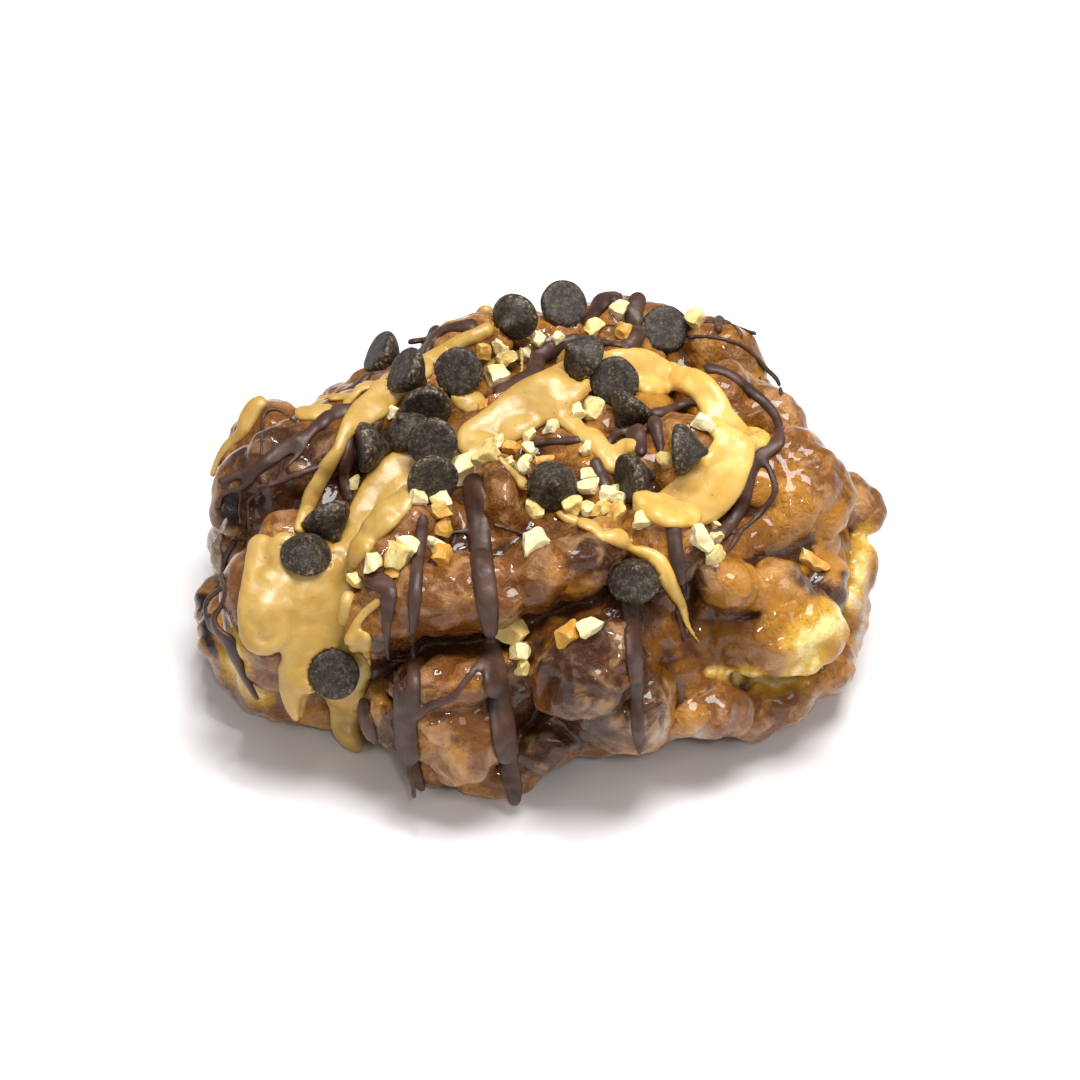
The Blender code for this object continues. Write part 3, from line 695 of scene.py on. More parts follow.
@dataclass(frozen=True)
class GlazeFinish:
    """Sugar glaze that has run together and set, milky and shiny."""

    milky: Colour = tint(180, 162, 136)
    clear: Colour = tint(140, 112, 84)

    def put_on(self, made: bpy.types.Object) -> None:
        """Dresses the runs of glaze."""
        graph = Graph("sugar_glaze")
        place = graph.place()
        colour = graph.mix(graph.cloud(place, 2.5, 3, 0.6).ramp(0.38, 0.62), self.milky, self.clear)
        graph.surface(colour, 0.18 + 0.2 * graph.cloud(place, 1.2, 2), graph.cloud(place, 1.0, 3), 0.2)
        graph.fix(Subsurface_Weight=0.3, Subsurface_Scale=0.003, Coat_Weight=0.4, Coat_Roughness=0.1)
        graph.put_on(made)


# ---- The dough ----


class Fold(NamedTuple):
    """A lump of dough: its place, how far it stands off the loaf, its half sizes in mm and its turn in degrees."""

    column: float
    row: float
    rise: float
    half_length: float
    half_width: float
    half_depth: float
    turn: float


class Hollow(NamedTuple):
    """A gap between folds: its place, its half sizes in mm, its turn in degrees and how deep it goes in mm."""

    column: float
    row: float
    half_length: float
    half_width: float
    turn: float
    depth: float


class Tone(Enum):
    """What a dab changes the crust to."""

    PALE = "pale"
    BURNT = "burnt"
    GOLDEN = "golden"
    BROWN = "brown"
    DARK = "dark"
    AMBER = "amber"
    # Sugar glaze with a painted sheen on it.
    GLAZED = "glazed"
    MILKY = "milky"


class Bumps(NamedTuple):
    """Rounded bumps of the skin with creases between them: their size, their height, and a shift, all in mm."""

    size: float
    height: float
    shift: tuple[float, float, float] = (0, 0, 0)

    def at(self, place: Vector) -> float:
        """Gives how far they stand out at a place in mm, which is less than nothing in a crease."""
        return (2 * abs(noise.noise((place + Vector(self.shift)) / self.size)) - 0.5) * self.height


class Dab(NamedTuple):
    """A part of the crust that looks different: its tone, and the places it passes with half its width in steps."""

    tone: Tone
    path: tuple[tuple[float, float, float], ...]


FOLDS = (
    Fold(266, 447, 0, 10, 7, 8, 55), Fold(298, 470, 1, 19, 8.5, 9, 30), Fold(350, 434, 0, 10, 7, 8, 30),
    Fold(236, 546, 0, 8, 5.5, 8, 80), Fold(243, 653, -1, 12, 6.5, 8, -60), Fold(214, 606, -2, 5.5, 4, 6, 40),
    Fold(297, 600, 2, 16, 13, 11, 80), Fold(300, 686, 0, 14, 6, 9, -10), Fold(405, 545, 1, 11, 8, 8, 40),
    Fold(455, 595, 3, 14, 7, 8, 5), Fold(395, 615, 1, 8, 8, 8, 0), Fold(560, 565, 3, 13, 6.5, 8, 28),
    Fold(507, 497, 2, 9.5, 4.2, 6, -80), Fold(458, 722, 2, 12, 10, 10, 0), Fold(450, 682, 1, 11, 5, 7, 10),
    Fold(488, 769, 1, 11, 5, 7, -5), Fold(432, 762, 0, 6, 5, 7, 0), Fold(546, 748, -1, 9, 5, 7, 20),
    Fold(385, 710, 0, 7, 5, 8, 80), Fold(584, 670, 2, 10, 9, 8, 40), Fold(612, 714, 1, 10, 8, 8, -15),
    Fold(640, 700, 1, 10, 5, 8, 90),
    Fold(700, 708, 0, 10, 6, 7, 0), Fold(762, 706, 0, 10, 6, 8, 10), Fold(763, 622, 0, 17, 11, 9, -15),
    Fold(724, 589, 2, 7, 6, 7, -20), Fold(772, 590, 3, 6, 5.5, 7, 0), Fold(818, 590, 1, 5, 6, 6, 0),
    Fold(851, 572, 0, 9, 4.5, 6, 80), Fold(781, 490, 1, 13, 11, 9, 0), Fold(852, 503, 0, 7, 5.5, 7, 0),
    Fold(770, 430, 0, 13, 6, 7, -45), Fold(718, 365, 1, 13, 7.5, 8, -25), Fold(738, 356, 0, 6.5, 5.5, 6, -30),
    Fold(718, 408, 2, 10, 7, 7, -50), Fold(620, 330, 0, 13, 7, 8, 0), Fold(535, 345, 0, 12, 7, 8, 10),
    Fold(460, 365, 0, 12, 8, 8, 30), Fold(398, 403, 0, 11, 7.5, 8, 40), Fold(520, 420, -1, 16, 6, 4.5, 25),
    Fold(612, 374, 1, 12, 7, 8, 15), Fold(690, 475, 1, 13, 10, 8, 0), Fold(840, 628, -1, 9, 5, 7, 80),
    Fold(792, 677, 0, 13, 5.5, 7, 20), Fold(660, 550, 1, 9, 9, 7, 0),
)

HOLLOWS = (
    Hollow(452, 643, 8, 2.6, 4, 6), Hollow(398, 660, 5, 3, 30, 6), Hollow(548, 615, 10, 2.5, 25, 3.5),
    Hollow(505, 640, 4, 4, 0, 3), Hollow(540, 700, 2.5, 9, -20, 3.5), Hollow(690, 660, 6, 7, 0, 2.5),
    Hollow(686, 605, 2.5, 7, 0, 3), Hollow(752, 613, 2.5, 1.6, 0, 3.5), Hollow(815, 655, 9, 2.2, 35, 2.5),
    Hollow(775, 560, 9, 3, 15, 2.5), Hollow(255, 505, 5, 3, 0, 2.5), Hollow(340, 500, 3, 8, -30, 2),
    Hollow(530, 500, 3, 5, 0, 3), Hollow(440, 530, 4, 4, 0, 3), Hollow(640, 440, 7, 4, 0, 2),
    Hollow(670, 345, 10, 2, -20, 2), Hollow(505, 395, 10, 2.2, 20, 2),
)

DABS = (
    Dab(Tone.PALE, ((709, 672, 3), (745, 674, 8), (779, 682, 10), (810, 664, 12), (806, 642, 14), (839, 618, 14))),
    Dab(Tone.PALE, ((839, 618, 12), (852, 595, 7), (862, 570, 10), (866, 535, 8))),
    Dab(Tone.PALE, ((232, 640, 10), (242, 672, 16), (258, 694, 10))),
    Dab(Tone.BURNT, ((228, 500, 8), (230, 518, 8))),
    Dab(Tone.BURNT, ((202, 600, 6), (205, 628, 5), (215, 655, 4))),
    Dab(Tone.DARK, ((817, 570, 8), (820, 582, 6))),
    Dab(Tone.DARK, ((845, 577, 6), (850, 590, 4))),
    Dab(Tone.GOLDEN, ((438, 738, 16), (446, 748, 12))),
    # Golden crust, with a painted highlight on the twin knobs.
    Dab(Tone.GOLDEN, ((722, 590, 20), (770, 590, 22))),
    Dab(Tone.GOLDEN, ((752, 505, 16), (790, 500, 18), (815, 530, 20), (840, 545, 14))),
    Dab(Tone.GOLDEN, ((800, 610, 30), (830, 570, 22), (780, 650, 22))),
    Dab(Tone.GOLDEN, ((690, 690, 18), (700, 710, 20))),
    Dab(Tone.GOLDEN, ((757, 705, 16), (762, 715, 12))),
    # A painted highlight on the long fold's right end.
    Dab(Tone.GOLDEN, ((560, 575, 12), (575, 585, 10))),
    Dab(Tone.BROWN, ((400, 560, 30), (430, 600, 32), (490, 590, 30), (540, 590, 24))),
    Dab(Tone.BROWN, ((420, 680, 30), (440, 720, 26), (480, 740, 30), (520, 750, 26))),
    Dab(Tone.BROWN, ((570, 690, 34), (620, 650, 30), (640, 710, 28), (700, 640, 24), (720, 700, 18),
                     (770, 720, 18))),
    Dab(Tone.BROWN, ((280, 470, 34), (350, 440, 24), (230, 540, 22), (260, 690, 20))),
    Dab(Tone.BROWN, ((470, 520, 20), (530, 480, 20), (560, 560, 18), (600, 560, 20))),
    Dab(Tone.DARK, ((245, 450, 18), (275, 450, 22), (300, 470, 24), (260, 500, 22), (320, 480, 18))),
    # Painted shade along the crevice under the long fold.
    Dab(Tone.DARK, ((425, 640, 10), (450, 650, 12), (480, 645, 12), (510, 640, 14))),
    Dab(Tone.DARK, ((500, 680, 14), (515, 720, 18), (535, 760, 16))),
    Dab(Tone.DARK, ((590, 545, 14), (610, 560, 14), (620, 600, 14), (612, 640, 14))),
    Dab(Tone.DARK, ((560, 660, 16), (580, 690, 22), (600, 720, 22), (560, 730, 16))),
    Dab(Tone.DARK, ((380, 650, 12), (400, 690, 12), (390, 740, 12))),
    Dab(Tone.DARK, ((800, 575, 10), (822, 590, 9), (845, 600, 7))),
    Dab(Tone.DARK, ((700, 560, 12), (695, 600, 12), (750, 625, 8))),
    Dab(Tone.DARK, ((640, 600, 16), (640, 640, 18), (650, 690, 16), (640, 730, 16))),
    Dab(Tone.AMBER, ((660, 650, 14), (685, 670, 18), (675, 690, 12))),
    Dab(Tone.AMBER, ((705, 620, 14), (730, 640, 18), (760, 655, 12))),
    Dab(Tone.AMBER, ((770, 545, 12), (745, 520, 12))),
    # Sugar glaze with a painted sheen; on the twin knobs these are painted highlights.
    Dab(Tone.GLAZED, ((715, 578, 9), (722, 572, 8))),
    Dab(Tone.GLAZED, ((768, 580, 10), (776, 590, 6))),
    Dab(Tone.GLAZED, ((440, 575, 12), (480, 572, 10), (520, 560, 8))),
    Dab(Tone.GLAZED, ((790, 430, 14), (805, 455, 12), (775, 400, 10))),
    Dab(Tone.GLAZED, ((866, 500, 12), (870, 515, 10))),
    Dab(Tone.GLAZED, ((620, 720, 12), (660, 720, 10), (600, 700, 8))),
    Dab(Tone.GLAZED, ((430, 700, 10), (450, 770, 10))),
    Dab(Tone.MILKY, ((662, 733, 7), (690, 737, 8), (704, 733, 6))),
    Dab(Tone.MILKY, ((213, 545, 8), (216, 566, 9))),
    Dab(Tone.MILKY, ((857, 600, 4), (865, 620, 4), (858, 640, 5))),
)


@dataclass(frozen=True)
class Dough:
    """The fried dough: folds fused on a loaf, with hollows between them and a crinkled skin.

    The loaf's squareness is given below and above its middle. A row of the folds round the far side is given as
    its lift in mm, its spread as a share of the loaf's rim, and its largest half length in mm. The folds of a row
    stand at the rim's turns, in degrees, and are scattered by some degrees and mm. The wrinkles are bent in mm.
    """

    middle: Vector = field(default_factory=lambda: Vector((0, 4, 25)) * MM)
    half: Vector = field(default_factory=lambda: Vector((60, 50, 27)) * MM)
    squareness: tuple[float, float] = (3.2, 2.4)
    search: range = range(-80, 81, 2)
    foot: float = 5 * MM
    rim_rows: tuple[tuple[float, float, float], ...] = ((-6, 1.0, 13), (5, 0.92, 10.5))
    rim_turns: range = range(15, 175, 19)
    rim_shape: tuple[float, float, float] = (1.0, 0.62, 0.75)
    rim_scatter: tuple[float, float] = (4, 5)
    rim_seed: int = 7
    swirl_size: float = 17 * MM
    swirl: float = 3.0 * MM
    stand_out: float = 0.7
    lumps: Bumps = Bumps(11, 1.7)
    crinkles: Bumps = Bumps(4.5, 0.75, (22.5, 40.5, 9.0))
    wrinkles: Bumps = Bumps(2.6, 0.32, (2.6, 10.4, 18.2))
    bend_size: float = 6
    bend: float = 3.12
    hollow_end: float = 4
    hollow_fall: float = 1.5
    voxel: float = 0.8 * MM
    smoothings: int = 4
    near_smoothings: int = 14
    wide_smoothings: int = 90
    fine_depth: float = 0.6222 * MM
    broad_depth: float = 1.4667 * MM
    dab_spacing: float = 1.5 * MM
    dab_spread: float = 1.5
    finish: CrustFinish = CrustFinish()

    def build(self) -> bpy.types.Object:
        """Builds the dough.

        Returns:
            The dough, with a number at each vertex for each thing that its finish follows.
        """
        mesh = self.loaf()
        tree = BVHTree.FromBMesh(mesh)
        for fold in FOLDS:
            place = self.seat(fold.column, fold.row, tree) + SIGHT.towards * fold.rise * MM
            half = Vector((fold.half_length, fold.half_width, fold.half_depth)) * MM
            add_ball(mesh, place, SIGHT.facing(fold.turn), half)
        for place, axes, half in self.rim_folds():
            add_ball(mesh, place, axes, half)
        for vertex in mesh.verts:
            vertex.co = self.swirled(vertex.co)
        dough = object_of("fried_dough", mesh)
        fuse(dough, self.voxel, self.smoothings)
        self.work(dough)
        self.trim(dough)
        self.read_relief(dough)
        smooth_shade(dough)
        self.finish.put_on(dough)
        return dough

    def loaf(self) -> bmesh.types.BMesh:
        """Makes the loaf under the folds: an ellipsoid made squarer, more so below, so that it sits broadly."""
        mesh = bmesh.new()
        add_ball(mesh, Vector(), Matrix.Identity(3), Vector((1, 1, 1)), 5)
        for vertex in mesh.verts:
            power = self.squareness[vertex.co.z > 0]
            vertex.co *= (vertex.co.xy.length ** power + abs(vertex.co.z) ** power) ** (-1 / power)
            vertex.co = self.middle + vertex.co * self.half
        return mesh

    def seat(self, column: float, row: float, tree: BVHTree) -> Vector:
        """Finds where a fold sits.

        Args:
            column: Its column on the picture grid.
            row: Its row on the picture grid.
            tree: The loaf's faces.

        Returns:
            Where the line of sight meets the loaf, or passes nearest to it beside its outline.
        """
        direction = SIGHT.line(column, row)
        place = tree.ray_cast(SIGHT.eye, direction)[0]
        if place is not None:
            return place
        steps = [SIGHT.eye + direction * (SIGHT.distance + step * MM) for step in self.search]
        return min(steps, key=lambda point: tree.find_nearest(point)[3])

    def rim_folds(self) -> Iterator[tuple[Vector, Matrix, Vector]]:
        """Gives the folds round the far side, in two rows that follow one another along the loaf's rim."""
        draw = random.Random(self.rim_seed)
        degrees, rise = self.rim_scatter
        for lift, spread, largest in self.rim_rows:
            for turn in self.rim_turns:
                angle = math.radians(turn + lift + draw.uniform(-degrees, degrees))
                rim = Vector((math.cos(angle) * self.half.x, math.sin(angle) * self.half.y, 0)) * spread
                level = self.middle + Vector((0, 0, lift + draw.uniform(-rise, rise))) * MM
                size = Vector(self.rim_shape) * largest * draw.uniform(0.75, 1.0) * MM
                along = Matrix.Rotation(angle + math.pi / 2, 3, "Z")
                yield level + rim, along @ Matrix.Rotation(draw.uniform(-0.5, 0.5), 3, "Y"), size

    def off_ground(self, height: float) -> float:
        """Gives nothing at the flat underside, rising to 1 over the next few millimetres."""
        return min(1.0, max(0.0, height / self.foot))

    def swirled(self, point: Vector) -> Vector:
        """Moves a point by a slow swirl, so that no fold stays a plain ellipsoid."""
        return point + drift(point / self.swirl_size) * self.swirl * self.off_ground(point.z)

    def relief(self, point: Vector) -> float:
        """Gives how far the skin stands out: lumps, crinkles and wrinkles."""
        place = point / MM
        bent = place + drift(place / self.bend_size) * self.bend
        height = self.stand_out + self.lumps.at(place) + self.crinkles.at(place) + self.wrinkles.at(bent)
        return height * MM * self.off_ground(point.z)

    def pressed(self, points: np.ndarray) -> np.ndarray:
        """Gives how far points of the near side are pressed away from the eye by the hollows."""
        columns, rows = SIGHT.places(points)
        depth = np.zeros(len(points))
        for gap in HOLLOWS:
            angle = math.radians(gap.turn)
            right = (columns - gap.column) * SIGHT.step
            up = (gap.row - rows) * SIGHT.step
            along = (right * math.cos(angle) + up * math.sin(angle)) / (gap.half_length * MM)
            across = (up * math.cos(angle) - right * math.sin(angle)) / (gap.half_width * MM)
            reach = along * along + across * across
            pressed = gap.depth * MM * np.exp(-self.hollow_fall * reach)
            depth += np.where(reach < self.hollow_end, pressed, 0.0)
        return depth

    def work(self, dough: bpy.types.Object) -> None:
        """Works the relief and the hollows into the skin."""
        places = corners_of(dough)
        normals = normals_of(dough)
        near_side = np.clip(normals @ np.array(SIGHT.towards), 0, None)
        depth = self.pressed(places) * np.minimum(1.0, near_side * 3)
        relief = np.array([self.relief(Vector(place)) for place in places])
        worked = places + normals * relief[:, None] - np.outer(depth, np.array(SIGHT.towards))
        move_corners(dough, smoothed(dough, worked, 2))

    def trim(self, dough: bpy.types.Object) -> None:
        """Makes the underside flat, where the fritter rests."""
        mesh = bmesh.new()
        mesh.from_mesh(dough.data)
        everything = [*mesh.verts, *mesh.edges, *mesh.faces]
        bmesh.ops.bisect_plane(
            mesh, geom=everything, dist=0.0001 * MM, plane_co=(0, 0, 0), plane_no=(0, 0, -1), clear_outer=True
        )
        rim = [edge for edge in mesh.edges if edge.is_boundary]
        bmesh.ops.holes_fill(mesh, edges=rim, sides=0)
        bmesh.ops.triangulate(mesh, faces=[face for face in mesh.faces if len(face.verts) > 4])
        mesh.to_mesh(dough.data)
        mesh.free()

    def read_relief(self, dough: bpy.types.Object) -> None:
        """Stores where the skin folds in, where it stands out, and the dabs of another tone."""
        places = corners_of(dough)
        normals = normals_of(dough)
        near = smoothed(dough, places, self.near_smoothings)
        wide = smoothed(dough, near, self.wide_smoothings)
        fine = ((places - near) * normals).sum(1) / self.fine_depth
        broad = ((near - wide) * normals).sum(1) / self.broad_depth
        both = smoothed(dough, (fine + broad)[:, None], 2)[:, 0]
        attach(dough, "crease", -both)
        attach(dough, "ridge", both)
        tree = surface_tree([dough])
        for tone in Tone:
            strength = np.zeros(len(places))
            for dab in DABS:
                if dab.tone is tone:
                    strength = np.maximum(strength, self.dabbed(dab, places, tree))
            attach(dough, tone.value, strength)

    def dabbed(self, dab: Dab, places: np.ndarray, tree: BVHTree) -> np.ndarray:
        """Finds how strongly a dab changes each place.

        Args:
            dab: The dab.
            places: The places, one a row.
            tree: The dough's faces.

        Returns:
            A number from 0 to 1 for each place.
        """
        strength = np.zeros(len(places))
        for spot in smooth_path(dab.path, self.dab_spacing):
            centre = tree.ray_cast(SIGHT.eye, SIGHT.line(spot.x, spot.y))[0]
            if centre is not None:
                radius = spot.z * SIGHT.step * self.dab_spread
                reach = np.linalg.norm(places - np.array(centre), axis=1) / radius
                strength = np.maximum(strength, np.clip(1.3 - 0.8 * reach, 0, 1))
        return strength


# ---- Sauces ----


class Stroke(NamedTuple):
    """A run of sauce: its name, then the places it passes with half its width in steps at each."""

    name: str
    path: tuple[tuple[float, float, float], ...]


class Seat(NamedTuple):
    """A spot on the dough for a bead of sauce: its place, its distance from the eye, and the skin's normal."""

    column: float
    row: float
    radius: float
    distance: float
    normal: Vector


PEANUT_STROKES = (
    Stroke("left pool", ((262, 548, 14), (262, 580, 20), (262, 610, 25), (265, 630, 26))),
    Stroke("left pool's body", ((285, 550, 18), (300, 575, 30), (305, 610, 38), (310, 640, 32), (305, 670, 24))),
    Stroke("left pool's right side", ((340, 560, 18), (345, 585, 14), (335, 610, 20), (325, 640, 22),
                                      (340, 670, 32))),
    Stroke("left drip", ((295, 670, 18), (292, 690, 13), (293, 708, 7), (296, 717, 4))),
    Stroke("left drip's twin", ((303, 680, 12), (302, 700, 6), (301, 714, 4))),
    Stroke("right drip", ((345, 680, 26), (345, 705, 17), (345, 725, 15), (352, 740, 11), (356, 746, 7))),
    Stroke("side thread", ((350, 640, 6), (358, 622, 5), (366, 612, 5), (378, 602, 5))),
    Stroke("side drip", ((352, 648, 6), (363, 640, 8), (368, 655, 4), (370, 664, 2.5))),
    Stroke("narrow ribbon", ((487, 330, 8), (460, 342, 8), (442, 353, 8), (420, 370, 12), (395, 385, 14),
                             (380, 401, 16), (358, 418, 14), (345, 434, 8), (338, 450, 7), (328, 465, 8),
                             (313, 492, 9), (305, 515, 8), (300, 527, 7))),
    Stroke("broad ribbon", ((430, 465, 22), (400, 480, 28), (380, 505, 26), (362, 530, 20), (352, 555, 14),
                            (350, 572, 10))),
    Stroke("ribbon's strand", ((345, 405, 4), (355, 395, 4), (362, 387, 5), (378, 386, 5))),
    Stroke("far edge strand", ((314, 405, 4), (331, 398, 4), (348, 397, 4))),
    Stroke("far edge patch", ((301, 414, 7), (329, 413, 8))),
    Stroke("knob's rim", ((286, 399, 4), (273, 397, 5), (257, 405, 8), (248, 419, 9), (241, 434, 6),
                          (229, 444, 5), (219, 458, 4), (213, 474, 4))),
    Stroke("crown", ((475, 440, 20), (500, 425, 22), (530, 405, 25), (555, 392, 24), (580, 375, 20),
                     (600, 365, 16))),
    Stroke("loop", ((615, 362, 14), (640, 365, 18), (655, 378, 22), (675, 378, 14), (698, 385, 15),
                    (712, 402, 16), (720, 420, 17), (735, 438, 17), (735, 455, 20), (722, 480, 24),
                    (700, 500, 26), (680, 508, 20), (660, 508, 12), (640, 498, 8))),
    Stroke("loop's pool", ((640, 508, 8), (665, 508, 18), (690, 500, 27), (712, 485, 26), (725, 465, 24),
                           (735, 447, 20), (755, 438, 12), (766, 441, 6))),
    Stroke("slanting strand", ((560, 415, 8), (572, 424, 9), (583, 435, 8), (594, 440, 10), (606, 455, 10),
                               (614, 464, 11), (624, 450, 10), (634, 445, 7))),
    Stroke("strand over the nuts", ((492, 450, 3), (503, 462, 3.5), (515, 475, 4), (524, 485, 6))),
    Stroke("lower strand", ((560, 513, 5), (568, 519, 6), (581, 523, 5), (594, 528, 6), (602, 537, 5),
                            (616, 537, 9), (622, 541, 8), (629, 548, 4), (639, 551, 6), (651, 556, 8),
                            (661, 566, 10), (668, 579, 9), (675, 593, 7), (682, 606, 5), (686, 621, 4),
                            (693, 634, 3), (699, 642, 2))),
    Stroke("far thread", ((521, 350, 3.5), (522, 364, 3.5), (521, 384, 3.5))),
    Stroke("over the far nuts", ((498, 344, 5), (502, 357, 7), (487, 369, 6))),
    Stroke("smear", ((462, 398, 12), (474, 404, 13))),
    Stroke("far blob", ((532, 301, 7), (528, 306, 7))),
)

CHOCOLATE_STROKES = (
    Stroke("middle band", ((475, 485, 12), (478, 520, 12), (482, 560, 12), (487, 600, 12), (490, 625, 9),
                           (492, 640, 7), (492, 655, 11), (497, 690, 12), (503, 730, 12), (510, 770, 11),
                           (514, 790, 9), (514, 798, 7))),
    Stroke("left band", ((423, 520, 6), (418, 560, 7), (415, 600, 7), (413, 635, 4), (413, 655, 3), (414, 670, 7),
                         (413, 700, 8), (408, 730, 10), (412, 760, 8), (418, 780, 6), (423, 788, 3.5))),
    Stroke("left band's strand", ((395, 672, 2.5), (400, 695, 6), (402, 720, 8), (403, 750, 6), (410, 778, 4),
                                  (413, 785, 3), (414, 796, 3))),
    Stroke("slanting join", ((487, 655, 5), (470, 675, 4), (452, 697, 4), (430, 706, 5), (420, 715, 5))),
    Stroke("second left band", ((371, 580, 8), (388, 588, 9), (387, 629, 5), (388, 658, 2.5))),
    Stroke("short drip", ((364, 702, 5), (366, 717, 7), (375, 740, 4))),
    Stroke("branch to the left", ((475, 530, 4), (447, 533, 3))),
    Stroke("branch to the right", ((495, 525, 3), (527, 535, 3))),
    Stroke("right band", ((629, 599, 9), (633, 640, 8), (636, 690, 7), (638, 728, 7), (640, 752, 3))),
    Stroke("right band's thread", ((618, 610, 2.5), (603, 628, 2.5))),
    Stroke("second right band", ((674, 530, 8), (677, 559, 8), (682, 580, 5), (684, 594, 3))),
    Stroke("second right band's end", ((677, 611, 3), (684, 639, 3))),
    Stroke("second right band's stub", ((680, 566, 4), (690, 565, 3))),
    Stroke("hook", ((708, 368, 5), (729, 374, 5), (752, 392, 5.5), (768, 406, 5.5), (777, 419, 5), (780, 433, 5),
                    (779, 442, 6), (764, 452, 9), (751, 466, 9), (747, 482, 8), (742, 503, 8), (734, 519, 8),
                    (726, 530, 8), (718, 535, 6), (700, 531, 3))),
    Stroke("hook's twin", ((764, 460, 4), (772, 476, 4), (775, 492, 4), (764, 508, 3.5), (752, 522, 3),
                           (742, 530, 3), (737, 538, 4), (727, 552, 2.5))),
    Stroke("far right line", ((689, 337, 3), (712, 337, 3), (736, 343, 3), (752, 353, 3), (766, 369, 3),
                              (777, 380, 3), (781, 393, 3))),
    Stroke("far right line's twin", ((705, 322, 2.5), (723, 321, 2.5), (736, 328, 2.5), (742, 337, 2.5))),
    Stroke("inner fork", ((700, 403, 4.5), (685, 404, 4.5), (665, 412, 6), (645, 415, 5), (629, 421, 6),
                          (610, 441, 5))),
    Stroke("inner fork's pool", ((630, 428, 9), (637, 438, 11))),
    Stroke("inner fork's left leg", ((639, 431, 7), (641, 449, 7))),
    Stroke("inner fork's right leg", ((655, 424, 8), (659, 441, 6), (661, 455, 3))),
    Stroke("short dash", ((572, 396, 7), (575, 409, 7))),
    Stroke("short bar", ((535, 443, 4.5), (578, 440, 4.5))),
    Stroke("short slant", ((596, 464, 7), (606, 486, 7))),
    Stroke("far arc", ((620, 297, 4), (603, 301, 8), (594, 314, 7), (586, 324, 6))),
    Stroke("far patch", ((637, 302, 10), (634, 314, 11), (635, 330, 12), (631, 345, 10))),
    Stroke("far thread", ((596, 325, 2.5), (614, 325, 2.5))),
    Stroke("far thread's twin", ((602, 342, 3.5), (620, 345, 3.5))),
    Stroke("behind the drops", ((575, 340, 8), (540, 355, 10), (532, 376, 10), (500, 392, 8))),
    Stroke("far left arc", ((472, 326, 7), (456, 327, 5), (442, 331, 5), (431, 342, 5), (420, 356, 5))),
    Stroke("far left arc's twin", ((426, 340, 4), (411, 342, 4))),
    Stroke("behind the upper drops", ((367, 377, 6), (356, 388, 6))),
    Stroke("left arc", ((356, 411, 8), (337, 413, 8), (324, 421, 7), (308, 434, 5), (284, 447, 6), (265, 462, 6),
                        (253, 471, 6), (235, 476, 5), (222, 482, 5))),
    Stroke("left arc's second", ((314, 430, 4), (304, 443, 3), (284, 455, 3.5), (269, 466, 3.5), (257, 475, 3),
                                 (248, 484, 4), (234, 491, 3.5), (222, 495, 3.5), (219, 507, 3))),
    Stroke("left arc's third", ((310, 436, 3), (302, 451, 3), (289, 464, 3), (277, 480, 2.5))),
    Stroke("left arc's fourth", ((321, 466, 3.5), (304, 472, 4), (286, 479, 4), (273, 484, 3.5), (257, 487, 3))),
    Stroke("knob's line", ((276, 409, 2.5), (265, 412, 3), (262, 434, 2.7), (261, 458, 2.5))),
    Stroke("knob's short line", ((276, 409, 2.5), (284, 413, 2.5), (296, 423, 2.5))),
    Stroke("left edge's thread", ((260, 492, 3), (249, 500, 3), (248, 514, 3), (250, 530, 3))),
    Stroke("left edge's twin", ((241, 495, 2.5), (239, 507, 2.5), (240, 523, 2.5))),
    Stroke("behind the left stack", ((352, 430, 6), (349, 455, 7), (344, 468, 7), (346, 485, 7), (349, 497, 6))),
    Stroke("behind the left drop", ((377, 424, 6), (374, 431, 6))),
    Stroke("left edge line", ((234, 542, 4), (226, 558, 4), (222, 578, 3), (226, 588, 3), (222, 605, 3),
                              (214, 618, 4), (219, 632, 5), (229, 641, 6), (237, 659, 5.5), (246, 678, 4.5),
                              (257, 698, 3))),
    Stroke("left tip's rim", ((222, 588, 3), (208, 600, 3), (206, 613, 3), (212, 630, 3))),
)

GLAZE_STROKES = (
    Stroke("left edge", ((216, 546, 6), (217, 560, 7), (222, 573, 5))),
    Stroke("left edge's run", ((226, 520, 3), (221, 534, 4), (218, 546, 4))),
)

FAR_PEANUT_STROKES = (
    Stroke("middle ribbon", ((600, 560, 10), (608, 600, 13), (602, 640, 11), (612, 680, 8), (610, 712, 5))),
    Stroke("left ribbon", ((395, 640, 8), (400, 670, 9), (392, 700, 6), (396, 722, 3.5))),
    Stroke("right ribbon", ((770, 500, 8), (778, 540, 10), (772, 580, 8), (780, 620, 5), (782, 640, 3))),
)

FAR_CHOCOLATE_STROKES = (
    Stroke("first line", ((452, 540, 5), (458, 590, 6), (450, 640, 6), (458, 690, 5), (462, 720, 3))),
    Stroke("second line", ((560, 580, 5), (575, 620, 6), (570, 670, 5), (580, 710, 3))),
    Stroke("third line", ((660, 520, 5), (655, 570, 6), (664, 620, 5), (658, 670, 4), (664, 696, 2.5))),
    Stroke("fourth line", ((340, 500, 4), (345, 550, 5), (338, 600, 5), (345, 640, 3))),
    Stroke("line across", ((300, 560, 3), (360, 625, 4), (430, 640, 4), (500, 650, 4), (570, 640, 4),
                           (640, 600, 4), (700, 570, 4), (770, 560, 3), (800, 600, 2.5))),
)


